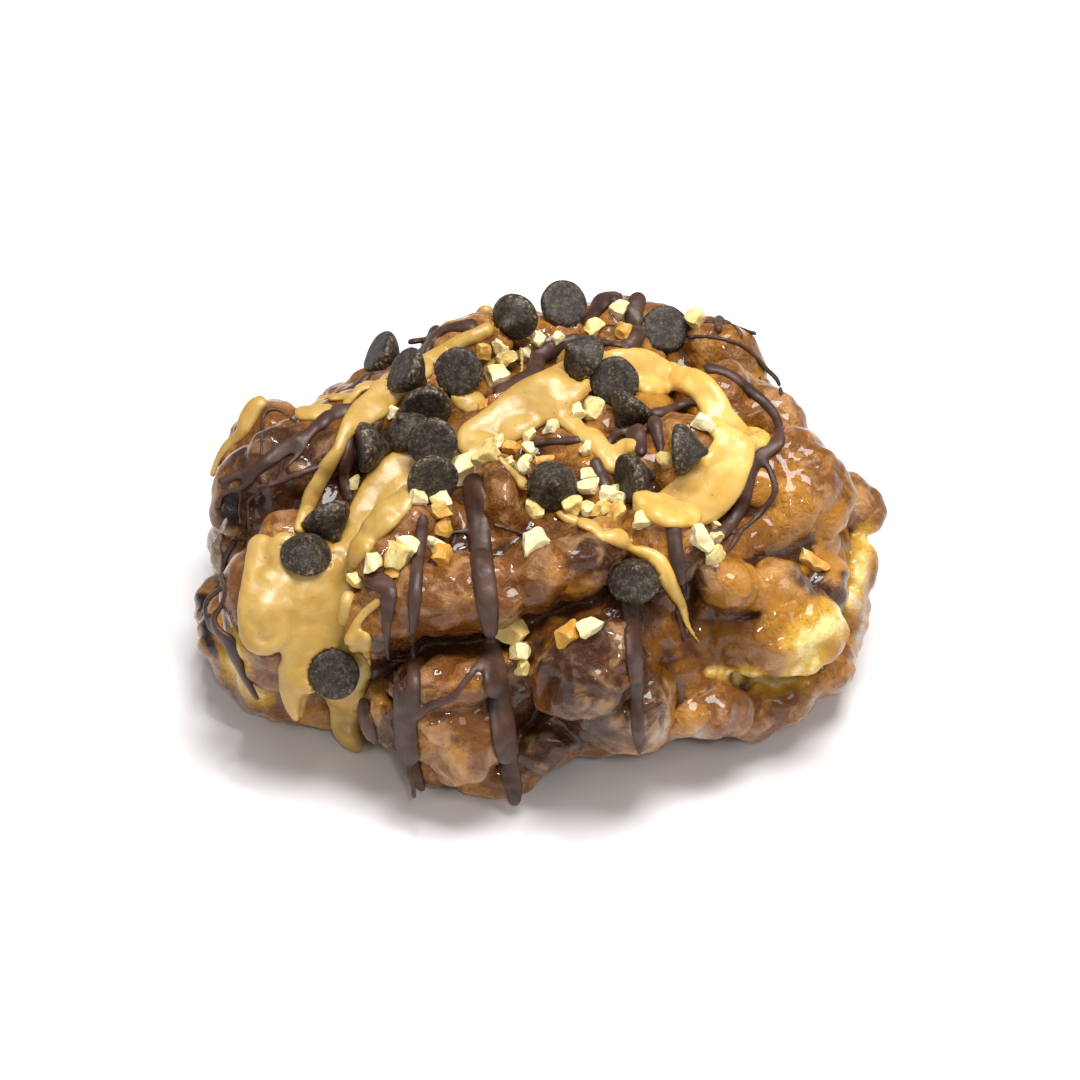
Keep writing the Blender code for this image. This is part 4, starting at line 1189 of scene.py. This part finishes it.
def smooth_path(path: tuple[tuple[float, float, float], ...], spacing: float) -> Iterator[Vector]:
    """Follows a smooth curve.

    Args:
        path: The points that the curve passes, as column, row and half width in steps.
        spacing: The distance between the places it gives, in metres.

    Yields:
        Places along the curve, each with its half width.
    """
    ends = [path[0], *path, path[-1]]
    for i in range(1, len(ends) - 2):
        before, start, stop, after = (Vector(point) for point in ends[i - 1:i + 3])
        parts = max(1, round((stop.xy - start.xy).length * SIGHT.step / spacing))
        for part in range(parts):
            t = part / parts
            bend = (stop - before) * t
            bend += (before * 2 - start * 5 + stop * 4 - after) * t * t
            bend += (start * 3 - before - stop * 3 + after) * t * t * t
            yield start + bend / 2
    yield Vector(path[-1])


@dataclass(frozen=True)
class Sauce:
    """One kind of sauce, poured over the dough in strokes on the near side and on the far side.

    A stroke is laid as overlapping beads, in batches, because a large mesh is slow to add to. Beads nearer to one
    another than the bridge, and than its drop in depth, share a level, so that they span a crease. A bead that
    would fall more than the hanging drop hangs at the depth of the one before it.
    """

    name: str
    strokes: tuple[Stroke, ...]
    thickness: float
    finish: Union[PeanutFinish, ChocolateFinish, GlazeFinish]
    far_strokes: tuple[Stroke, ...] = ()
    batch: int = 60
    bead: float = 1.7 * MM
    crown: float = 0.8
    stretch: float = 2.0
    edge_on: float = 0.4
    lift: float = 0.1 * MM
    fan: range = range(-75, 76, 25)
    spacing: float = 0.8 * MM
    bridge: float = 2.8 * MM
    bridge_drop: float = 4.5 * MM
    hang_drop: float = 12 * MM
    voxel: float = 0.42 * MM
    smoothings: int = 6
    wide_smoothings: int = 40
    fold_depth: float = 0.5 * MM

    def build(self, tree: BVHTree) -> bpy.types.Object:
        """Pours the sauce.

        Args:
            tree: The faces it is poured over.

        Returns:
            The sauce as one object.
        """
        whole = bmesh.new()
        near = [(SIGHT, stroke) for stroke in self.strokes]
        far = [(FAR_SIGHT, stroke) for stroke in self.far_strokes]
        for sight, stroke in near + far:
            seats = list(self.level(self.cast(stroke, tree, sight)))
            for first in range(0, len(seats), self.batch):
                laid = bmesh.new()
                for seat in seats[first:first + self.batch]:
                    self.add_bead(laid, seat, sight)
                add_mesh(whole, laid, stroke.name)
        sauce = object_of(self.name, whole)
        fuse(sauce, self.voxel, self.smoothings)
        places = corners_of(sauce)
        places[:, 2] = places[:, 2].clip(min=0)
        move_corners(sauce, places)
        self.read_relief(sauce)
        smooth_shade(sauce)
        self.finish.put_on(sauce)
        return sauce

    def beads(self, stroke: Stroke) -> Iterator[tuple[float, float, float]]:
        """Gives the places of the beads that fill a stroke to its edges, as columns, rows and radii."""
        along = list(smooth_path(stroke.path, self.spacing))
        for i, place in enumerate(along):
            heading = (along[min(i + 1, len(along) - 1)] - along[max(i - 1, 0)]).xy.normalized()
            half_width = place.z * SIGHT.step
            size = min(self.bead, half_width)
            reach = half_width - size
            count = math.ceil(reach / self.spacing)
            for k in range(-count, count + 1):
                side = reach * k / max(count, 1) / SIGHT.step
                yield place.x - heading.y * side, place.y + heading.x * side, size
            if i in (0, len(along) - 1) and count:
                outward = -1 if i == 0 else 1
                for turn in self.fan:
                    angle = math.atan2(heading.y * outward, heading.x * outward) + math.radians(turn)
                    far = reach / SIGHT.step
                    yield place.x + math.cos(angle) * far, place.y + math.sin(angle) * far, size

    def cast(self, stroke: Stroke, tree: BVHTree, sight: Sight) -> list[Seat]:
        """Casts a stroke's beads onto the dough, and lets the last of a drip hang.

        Args:
            stroke: The stroke.
            tree: The dough's faces.
            sight: The eye whose lines of sight carry the beads.

        Returns:
            The seats of the beads.
        """
        seats: list[Seat] = []
        for column, row, radius in self.beads(stroke):
            _, normal, _, distance = tree.ray_cast(sight.eye, sight.line(column, row))
            if seats:
                last = seats[-1]
                below = row > last.row and normal is not None and distance > last.distance + self.hang_drop
                if normal is None or below:
                    distance, normal = last.distance, last.normal
            if normal is not None:
                seats.append(Seat(column, row, radius, distance, normal))
        return seats

    def level(self, seats: list[Seat]) -> Iterator[Seat]:
        """Moves seats over a narrow crease out to the level of those round them."""
        spots = KDTree(len(seats))
        for index, seat in enumerate(seats):
            spots.insert((seat.column * SIGHT.step, seat.row * SIGHT.step, 0), index)
        spots.balance()
        for seat in seats:
            found = spots.find_range((seat.column * SIGHT.step, seat.row * SIGHT.step, 0), self.bridge)
            near = [seats[i] for _, i, _ in found if abs(seats[i].distance - seat.distance) < self.bridge_drop]
            level = sum(other.distance for other in near) / len(near)
            normal = sum((other.normal for other in near), Vector()).normalized()
            yield seat._replace(distance=min(seat.distance, level), normal=normal)

    def add_bead(self, mesh: bmesh.types.BMesh, seat: Seat, sight: Sight) -> None:
        """Adds a bead of sauce, flattened onto the skin and as wide as its seat says when seen from the eye.

        Args:
            mesh: The mesh that it goes into.
            seat: Its seat.
            sight: The eye that sees it.
        """
        direction = sight.line(seat.column, seat.row)
        place = sight.eye + direction * seat.distance
        level = seat.normal.cross(direction)
        if level.length < 0.05:
            level = sight.right.copy()
        level.normalize()
        slope = seat.normal.cross(level)
        facing = max(self.edge_on, abs(seat.normal.dot(direction)))
        half_height = min(self.crown * seat.radius, self.thickness)
        half = Vector((seat.radius, seat.radius * min(1 / facing, self.stretch), half_height))
        add_ball(mesh, place + seat.normal * self.lift, Matrix((level, slope, seat.normal)).transposed(), half, 2)

    def read_relief(self, sauce: bpy.types.Object) -> None:
        """Stores where the sauce folds in, which the peanut finish darkens as painted shade."""
        places = corners_of(sauce)
        lower = smoothed(sauce, places, self.wide_smoothings)
        inward = -((places - lower) * normals_of(sauce)).sum(1)
        attach(sauce, "crease", inward / self.fold_depth)


# ---- Chocolate drops ----


@dataclass(frozen=True)
class Drop:
    """A chocolate drop: its node, how far its tip leans from the eye, and which way it leans, in degrees."""

    node: str
    lean: float
    heading: float

    def tip(self) -> Vector:
        """Gives the direction of the drop's tip."""
        lean = math.radians(self.lean)
        heading = math.radians(self.heading)
        side = SIGHT.right * math.cos(heading) + SIGHT.upward * math.sin(heading)
        return SIGHT.towards * math.cos(lean) + side * math.sin(lean)


DROPS = (
    Drop("chip_01", 165, 200), Drop("chip_02", 40, 230), Drop("chip_03", 170, 200), Drop("chip_04", 172, 90),
    Drop("chip_05", 90, 235), Drop("chip_06", 55, 150), Drop("chip_07", 80, 2), Drop("chip_08", 115, 10),
    Drop("chip_09", 10, 60), Drop("chip_10", 35, 90), Drop("chip_11", 170, 60), Drop("chip_12", 113, -28),
    Drop("chip_13", 118, -30), Drop("chip_14", 140, 90), Drop("chip_15", 50, 110), Drop("chip_16", 165, 45),
    Drop("chip_17", 102, 4), Drop("chip_18", 150, 120), Drop("chip_19", 75, -62), Drop("chip_20", 45, 80),
    Drop("chip_21", 174, 30),
)

DROP_OUTLINE = (
    (0.0, 0.08), (2.6, 0.05), (3.9, 0.0), (4.45, 0.12), (4.78, 0.42), (4.9, 0.9), (4.84, 1.45), (4.62, 2.05),
    (4.24, 2.65), (3.74, 3.25), (3.1, 3.85), (2.45, 4.35), (1.85, 4.8), (1.4, 5.25), (1.12, 5.7), (0.86, 6.1),
    (0.48, 6.4), (0.0, 6.52),
)


@dataclass(frozen=True)
class ChocolateDrops:
    """The chocolate drops, each where its node is. The outline is a radius and a height for each point, in mm."""

    outline: tuple[tuple[float, float], ...] = DROP_OUTLINE
    half_width: float = 4.9 * MM
    height: float = 6.5 * MM
    node_height: float = 6.65 * MM
    sides: int = 36
    dent_size: float = 3.2 * MM
    dent: float = 0.22 * MM
    tip_bend: float = 0.45 * MM
    finish: DropFinish = DropFinish()

    def build(self) -> list[bpy.types.Object]:
        """Builds the drops.

        Returns:
            The drops, each named for its node.
        """
        look = self.finish.material()
        made = []
        for number, drop in enumerate(DROPS):
            body = self.turned(random.Random(number))
            piece = object_of(f"drop_{number + 1:02d}", body)
            corners = corners_of(piece)
            height = corners[:, 2] / self.height
            breadth = np.linalg.norm(corners[:, :2], axis=1) / self.half_width
            attach(piece, "rim", self.outermost(breadth) + self.outermost(height) * 0.6)
            piece.data.transform(self.pose(drop))
            smooth_shade(piece)
            look.put_on(piece)
            carried(piece, drop.node)
            made.append(piece)
        return made

    def outermost(self, shares: np.ndarray) -> np.ndarray:
        """Rises from 0 at five sixths of the way out to 1 at the edge."""
        return np.clip(shares * 6 - 5, 0, 1)

    def turned(self, draw: random.Random) -> bmesh.types.BMesh:
        """Turns a drop with its base at the origin and its tip up.

        Args:
            draw: Random numbers for how uneven it is.

        Returns:
            The drop's mesh.
        """
        mesh = bmesh.new()
        line = [mesh.verts.new((radius * MM, 0, height * MM)) for radius, height in self.outline]
        edges = [mesh.edges.new(pair) for pair in zip(line, line[1:])]
        bmesh.ops.spin(
            mesh, geom=edges, cent=(0, 0, 0), axis=(0, 0, 1), angle=math.tau, steps=self.sides, use_merge=True
        )
        bmesh.ops.remove_doubles(mesh, verts=mesh.verts, dist=0.005 * MM)
        bmesh.ops.recalc_face_normals(mesh, faces=mesh.faces)
        shift = pattern_shift(draw)
        bend = Vector((draw.uniform(-1, 1), draw.uniform(-1, 1), 0)) * self.tip_bend
        for vertex in mesh.verts:
            share = max(0.0, vertex.co.z / self.height)
            dent = drift(vertex.co / self.dent_size + shift) * self.dent
            vertex.co += dent + bend * share ** 3
        return mesh

    def pose(self, drop: Drop) -> Matrix:
        """Finds where a drop lies, from its node's tip.

        Args:
            drop: The drop.

        Returns:
            The matrix that carries a drop standing at the origin to its place.
        """
        tip = drop.tip()
        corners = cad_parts[drop.node].data.vertices
        top = max((vertex.co for vertex in corners), key=lambda corner: corner.dot(tip))
        return Matrix.Translation(top - tip * self.node_height) @ pointed(tip)


# ---- Chopped peanuts ----


class Cut(Enum):
    """How a piece of peanut was cut, as its length, width and thickness over its width in the picture."""

    CHUNK = (1.0, 0.9, 0.8)
    SLIVER = (1.3, 0.5, 0.4)


class Nut(NamedTuple):
    """A piece of chopped peanut: its place, its width in steps, how toasted it is, and its cut."""

    column: float
    row: float
    width: float
    toasted: float
    cut: Cut = Cut.CHUNK


NUTS = (
    Nut(482, 349, 14, 0.8), Nut(498, 345, 12, 0.2), Nut(503, 358, 16, 0.6), Nut(498, 378, 20, 0.25),
    Nut(525, 353, 15, 0.1), Nut(538, 341, 13, 0.1), Nut(557, 340, 11, 0.1), Nut(484, 405, 9, 0.9),
    Nut(618, 310, 17, 0.15), Nut(593, 331, 15, 0.4), Nut(625, 333, 15, 0.9), Nut(696, 323, 18, 0.3),
    Nut(594, 412, 21, 0.35), Nut(575, 414, 14, 0.15), Nut(552, 429, 13, 0.1), Nut(528, 436, 11, 0.2),
    Nut(499, 441, 10, 0.2), Nut(490, 459, 20, 0.5), Nut(512, 449, 12, 0.9), Nut(528, 449, 12, 0.2),
    Nut(527, 460, 8, 0.3), Nut(521, 469, 14, 0.0), Nut(509, 462, 8, 0.3), Nut(544, 461, 15, 0.85, Cut.SLIVER),
    Nut(465, 474, 25, 0.15), Nut(418, 502, 15, 0.15), Nut(443, 502, 17, 0.1), Nut(437, 510, 17, 0.8),
    Nut(439, 527, 14, 0.9), Nut(436, 547, 20, 0.1, Cut.SLIVER), Nut(445, 558, 18, 1.0), Nut(407, 546, 16, 0.15),
    Nut(397, 558, 22, 0.45), Nut(373, 562, 15, 0.2), Nut(394, 574, 17, 0.9), Nut(358, 578, 14, 0.5),
    Nut(536, 545, 20, 0.05), Nut(533, 514, 18, 0.4), Nut(589, 476, 14, 0.2), Nut(592, 490, 17, 0.15),
    Nut(606, 498, 17, 0.1),
    Nut(572, 508, 20, 0.5), Nut(588, 512, 12, 0.2), Nut(602, 513, 15, 0.7), Nut(621, 519, 20, 0.75),
    Nut(619, 500, 13, 0.2), Nut(614, 490, 9, 0.4), Nut(644, 520, 15, 0.3), Nut(586, 452, 12, 0.15),
    Nut(667, 461, 15, 0.5), Nut(701, 424, 17, 0.0), Nut(699, 538, 17, 0.1), Nut(713, 537, 12, 0.2),
    Nut(708, 556, 18, 0.35),
    Nut(715, 526, 8, 0.3), Nut(514, 631, 25, 0.6), Nut(521, 653, 17, 0.2), Nut(521, 668, 13, 0.4),
    Nut(352, 484, 12, 0.3), Nut(398, 448, 9, 0.8), Nut(391, 411, 10, 0.2), Nut(569, 637, 18, 0.95),
    Nut(590, 629, 18, 0.1), Nut(812, 563, 20, 0.85, Cut.SLIVER),
)


@dataclass(frozen=True)
class ChoppedNuts:
    """The chopped peanuts, scattered over the sauces and the dough.

    A piece is a ball with its sides and a few corners cut off. Its ball, its cuts' reach, its roundest edge, its
    longest edges and its dents are given over half its width, and how far it is raised over half its thickness.
    """

    ball: float = 1.9
    corners: int = 4
    tilt: float = 0.22
    reach: tuple[float, float] = (0.92, 1.16)
    rounding: float = 0.30 * MM
    roundest: float = 0.24
    longest: tuple[float, float] = (0.6, 0.4)
    softenings: int = 4
    dent_size: float = 0.9
    dent: float = 0.26
    raised: float = 0.6
    seed: int = 31
    finish: NutFinish = NutFinish()

    def build(self, tree: BVHTree) -> bpy.types.Object:
        """Builds the peanuts.

        Args:
            tree: The faces that they lie on.

        Returns:
            The peanuts as one object.
        """
        draw = random.Random(self.seed)
        whole = bmesh.new()
        toasted: list[float] = []
        for nut in NUTS:
            place, normal = self.spot(nut, tree)
            piece = self.broken(nut, draw)
            half = nut.width * SIGHT.step / 2
            spin = Matrix.Rotation(draw.uniform(0, math.tau), 4, "Z")
            lift = Matrix.Translation(place + normal * half * self.raised * nut.cut.value[2])
            bmesh.ops.transform(piece, matrix=lift @ pointed(normal) @ spin, verts=piece.verts)
            toasted.extend([nut.toasted] * len(piece.verts))
            add_mesh(whole, piece, "nut")
        nuts = object_of("chopped_peanuts", whole)
        attach(nuts, "toasted", np.array(toasted))
        smooth_shade(nuts)
        self.finish.put_on(nuts)
        return nuts

    def spot(self, nut: Nut, tree: BVHTree) -> tuple[Vector, Vector]:
        """Finds where a nut is seen on what carries it, or at the nearest place under it, and the normal there."""
        row = nut.row
        place: Optional[Vector] = None
        while place is None:
            place, normal, _, _ = tree.ray_cast(SIGHT.eye, SIGHT.line(nut.column, row))
            row += 4
        return place, normal

    def broken(self, nut: Nut, draw: random.Random) -> bmesh.types.BMesh:
        """Breaks a piece of peanut out of a ball by flat cuts.

        Args:
            nut: The piece.
            draw: Random numbers for the cuts.

        Returns:
            The piece's mesh, about the origin.
        """
        mesh = bmesh.new()
        half = nut.width * SIGHT.step / 2
        bmesh.ops.create_icosphere(mesh, subdivisions=2, radius=half * self.ball)
        sides = [Vector(side) for side in ((1, 0, 0), (-1, 0, 0), (0, 1, 0), (0, -1, 0), (0, 0, 1), (0, 0, -1))]
        corners = [Vector((0, 0, 0))] * self.corners
        for side in sides + corners:
            loose = self.tilt if side.length else 1.0
            away = (side + Vector([draw.gauss(0, loose) for _ in range(3)])).normalized()
            bmesh.ops.bisect_plane(
                mesh,
                geom=[*mesh.verts, *mesh.edges, *mesh.faces],
                dist=0.001 * MM,
                plane_co=away * half * draw.uniform(*self.reach),
                plane_no=away,
                clear_outer=True,
            )
            bmesh.ops.holes_fill(mesh, edges=[edge for edge in mesh.edges if edge.is_boundary], sides=0)
        bmesh.ops.dissolve_limit(mesh, angle_limit=0.1, verts=mesh.verts, edges=mesh.edges)
        bmesh.ops.bevel(
            mesh,
            geom=list(mesh.edges),
            offset=min(self.rounding, half * self.roundest),
            segments=3,
            profile=0.5,
            affect="EDGES",
            material=-1,
            clamp_overlap=True,
        )
        bmesh.ops.scale(mesh, vec=nut.cut.value, verts=mesh.verts)
        bmesh.ops.triangulate(mesh, faces=mesh.faces)
        for longest in self.longest:
            long_edges = [edge for edge in mesh.edges if edge.calc_length() > half * longest]
            bmesh.ops.subdivide_edges(mesh, edges=long_edges, cuts=1)
            bmesh.ops.triangulate(mesh, faces=mesh.faces)
        for _ in range(self.softenings):
            bmesh.ops.smooth_vert(
                mesh, verts=mesh.verts, factor=0.5, use_axis_x=True, use_axis_y=True, use_axis_z=True
            )
        shift = pattern_shift(draw)
        for vertex in mesh.verts:
            vertex.co += drift(vertex.co / (half * self.dent_size) + shift) * half * self.dent
        return mesh


# ---- The studio ----


@dataclass(frozen=True)
class Lamp:
    """A soft white light: its name, its place, its width and its power in watts."""

    name: str
    place: tuple[float, float, float]
    width: float
    power: float


LAMPS = (
    Lamp("overhead", (0.12, -0.04, 0.76), 0.34, 6.6),
    Lamp("high_glint", (-0.10, 0.12, 0.72), 0.05, 0.8),
    Lamp("left_fill", (-0.60, -0.35, 0.60), 0.30, 0.6),
    Lamp("right_fill", (0.62, -0.42, 0.60), 0.28, 1.2),
    Lamp("front_glint", (0.05, -0.62, 0.62), 0.05, 0.9),
)


@dataclass(frozen=True)
class Studio:
    """A plain pale floor, soft lights and the camera at the point of sight."""

    lamps: tuple[Lamp, ...] = LAMPS
    floor_size: float = 6.0
    floor_gap: float = 0.05 * MM
    floor_colour: Colour = tint(246, 244, 244)
    air: Colour = (0.95, 0.94, 0.93, 1)
    air_strength: float = 0.24
    sensor: float = 36.0
    clip: tuple[float, float] = (0.05, 20.0)

    def build(self) -> None:
        """Builds the floor, the lights, the air round them and the camera."""
        self.floor()
        for lamp in self.lamps:
            self.light(lamp)
        world = bpy.data.worlds.new("pale_air")
        world.use_nodes = True
        background = world.node_tree.nodes["Background"]
        background.inputs["Color"].default_value = self.air
        background.inputs["Strength"].default_value = self.air_strength
        bpy.context.scene.world = world
        bpy.context.scene.view_settings.view_transform = "Standard"
        self.camera()

    def floor(self) -> None:
        """Lays the floor, with a faint unevenness of tone."""
        mesh = bmesh.new()
        bmesh.ops.create_grid(mesh, x_segments=2, y_segments=2, size=self.floor_size / 2)
        bmesh.ops.translate(mesh, vec=(0, 0, -self.floor_gap), verts=mesh.verts)
        floor = object_of("pale_floor", mesh)
        graph = Graph("pale_floor")
        patchy = graph.cloud(graph.place(), 220, 2)
        graph.paint(graph.shade(self.floor_colour, 0.98 + 0.02 * patchy))
        graph.fix(Roughness=0.6, Specular_IOR_Level=0.2)
        graph.put_on(floor)

    def light(self, lamp: Lamp) -> None:
        """Hangs a soft light that faces the fritter."""
        data = bpy.data.lights.new(lamp.name, "AREA")
        data.shape = "SQUARE"
        data.size = lamp.width
        data.energy = lamp.power
        made = bpy.data.objects.new(lamp.name, data)
        place = Vector(lamp.place)
        made.matrix_world = Matrix.Translation(place) @ pointed(SIGHT.middle - place, "-Z")
        bpy.context.scene.collection.objects.link(made)

    def camera(self) -> None:
        """Sets the camera at the point of sight, so that the picture grid fills its frame."""
        data = bpy.data.cameras.new("eye")
        data.sensor_width = self.sensor
        data.lens = self.sensor * SIGHT.distance / (SIGHT.frame_steps * SIGHT.step)
        data.clip_start, data.clip_end = self.clip
        made = bpy.data.objects.new("eye", data)
        made.matrix_world = Matrix.Translation(SIGHT.eye) @ pointed(-SIGHT.towards, "-Z")
        bpy.context.scene.collection.objects.link(made)
        bpy.context.scene.camera = made


# ---- The order of work ----


# How many times as large as a drop its place in the dough is.
DROP_ROOM = 1.04
# How far in front of a drop dough and sauce are still pushed behind its face.
DOUGH_REACH = 3.0 * MM
SAUCE_REACH = 5.0 * MM


def report(piece: bpy.types.Object) -> None:
    """Logs a finished piece and how many faces it has."""
    LOG.info("%s: %d faces", piece.name, len(piece.data.polygons))


def main() -> None:
    """Builds the pieces in order, then the studio."""
    logging.basicConfig(level=logging.INFO, format="%(message)s")
    dough = Dough().build()
    carried(dough, "dough")
    bare = surface_tree([dough])
    drops = ChocolateDrops().build()
    held = surface_tree(drops, DROP_ROOM)
    push_back(dough, held, DOUGH_REACH)
    report(dough)
    poured = [dough]
    for sauce in (
        Sauce("sugar_glaze", GLAZE_STROKES, 0.5 * MM, GlazeFinish()),
        Sauce("peanut_sauce", PEANUT_STROKES, 1.35 * MM, PeanutFinish(), FAR_PEANUT_STROKES,
              bridge=5.0 * MM, bridge_drop=9 * MM, smoothings=10),
        Sauce("chocolate_sauce", CHOCOLATE_STROKES, 1.1 * MM, ChocolateFinish(), FAR_CHOCOLATE_STROKES),
    ):
        piece = sauce.build(bare)
        push_back(piece, held, SAUCE_REACH)
        carried(piece, "dough")
        report(piece)
        poured.append(piece)
    nuts = ChoppedNuts().build(surface_tree(poured))
    carried(nuts, "dough")
    report(nuts)
    for drop in drops:
        report(drop)
    Studio().build()


if __name__ == "__main__":
    main()
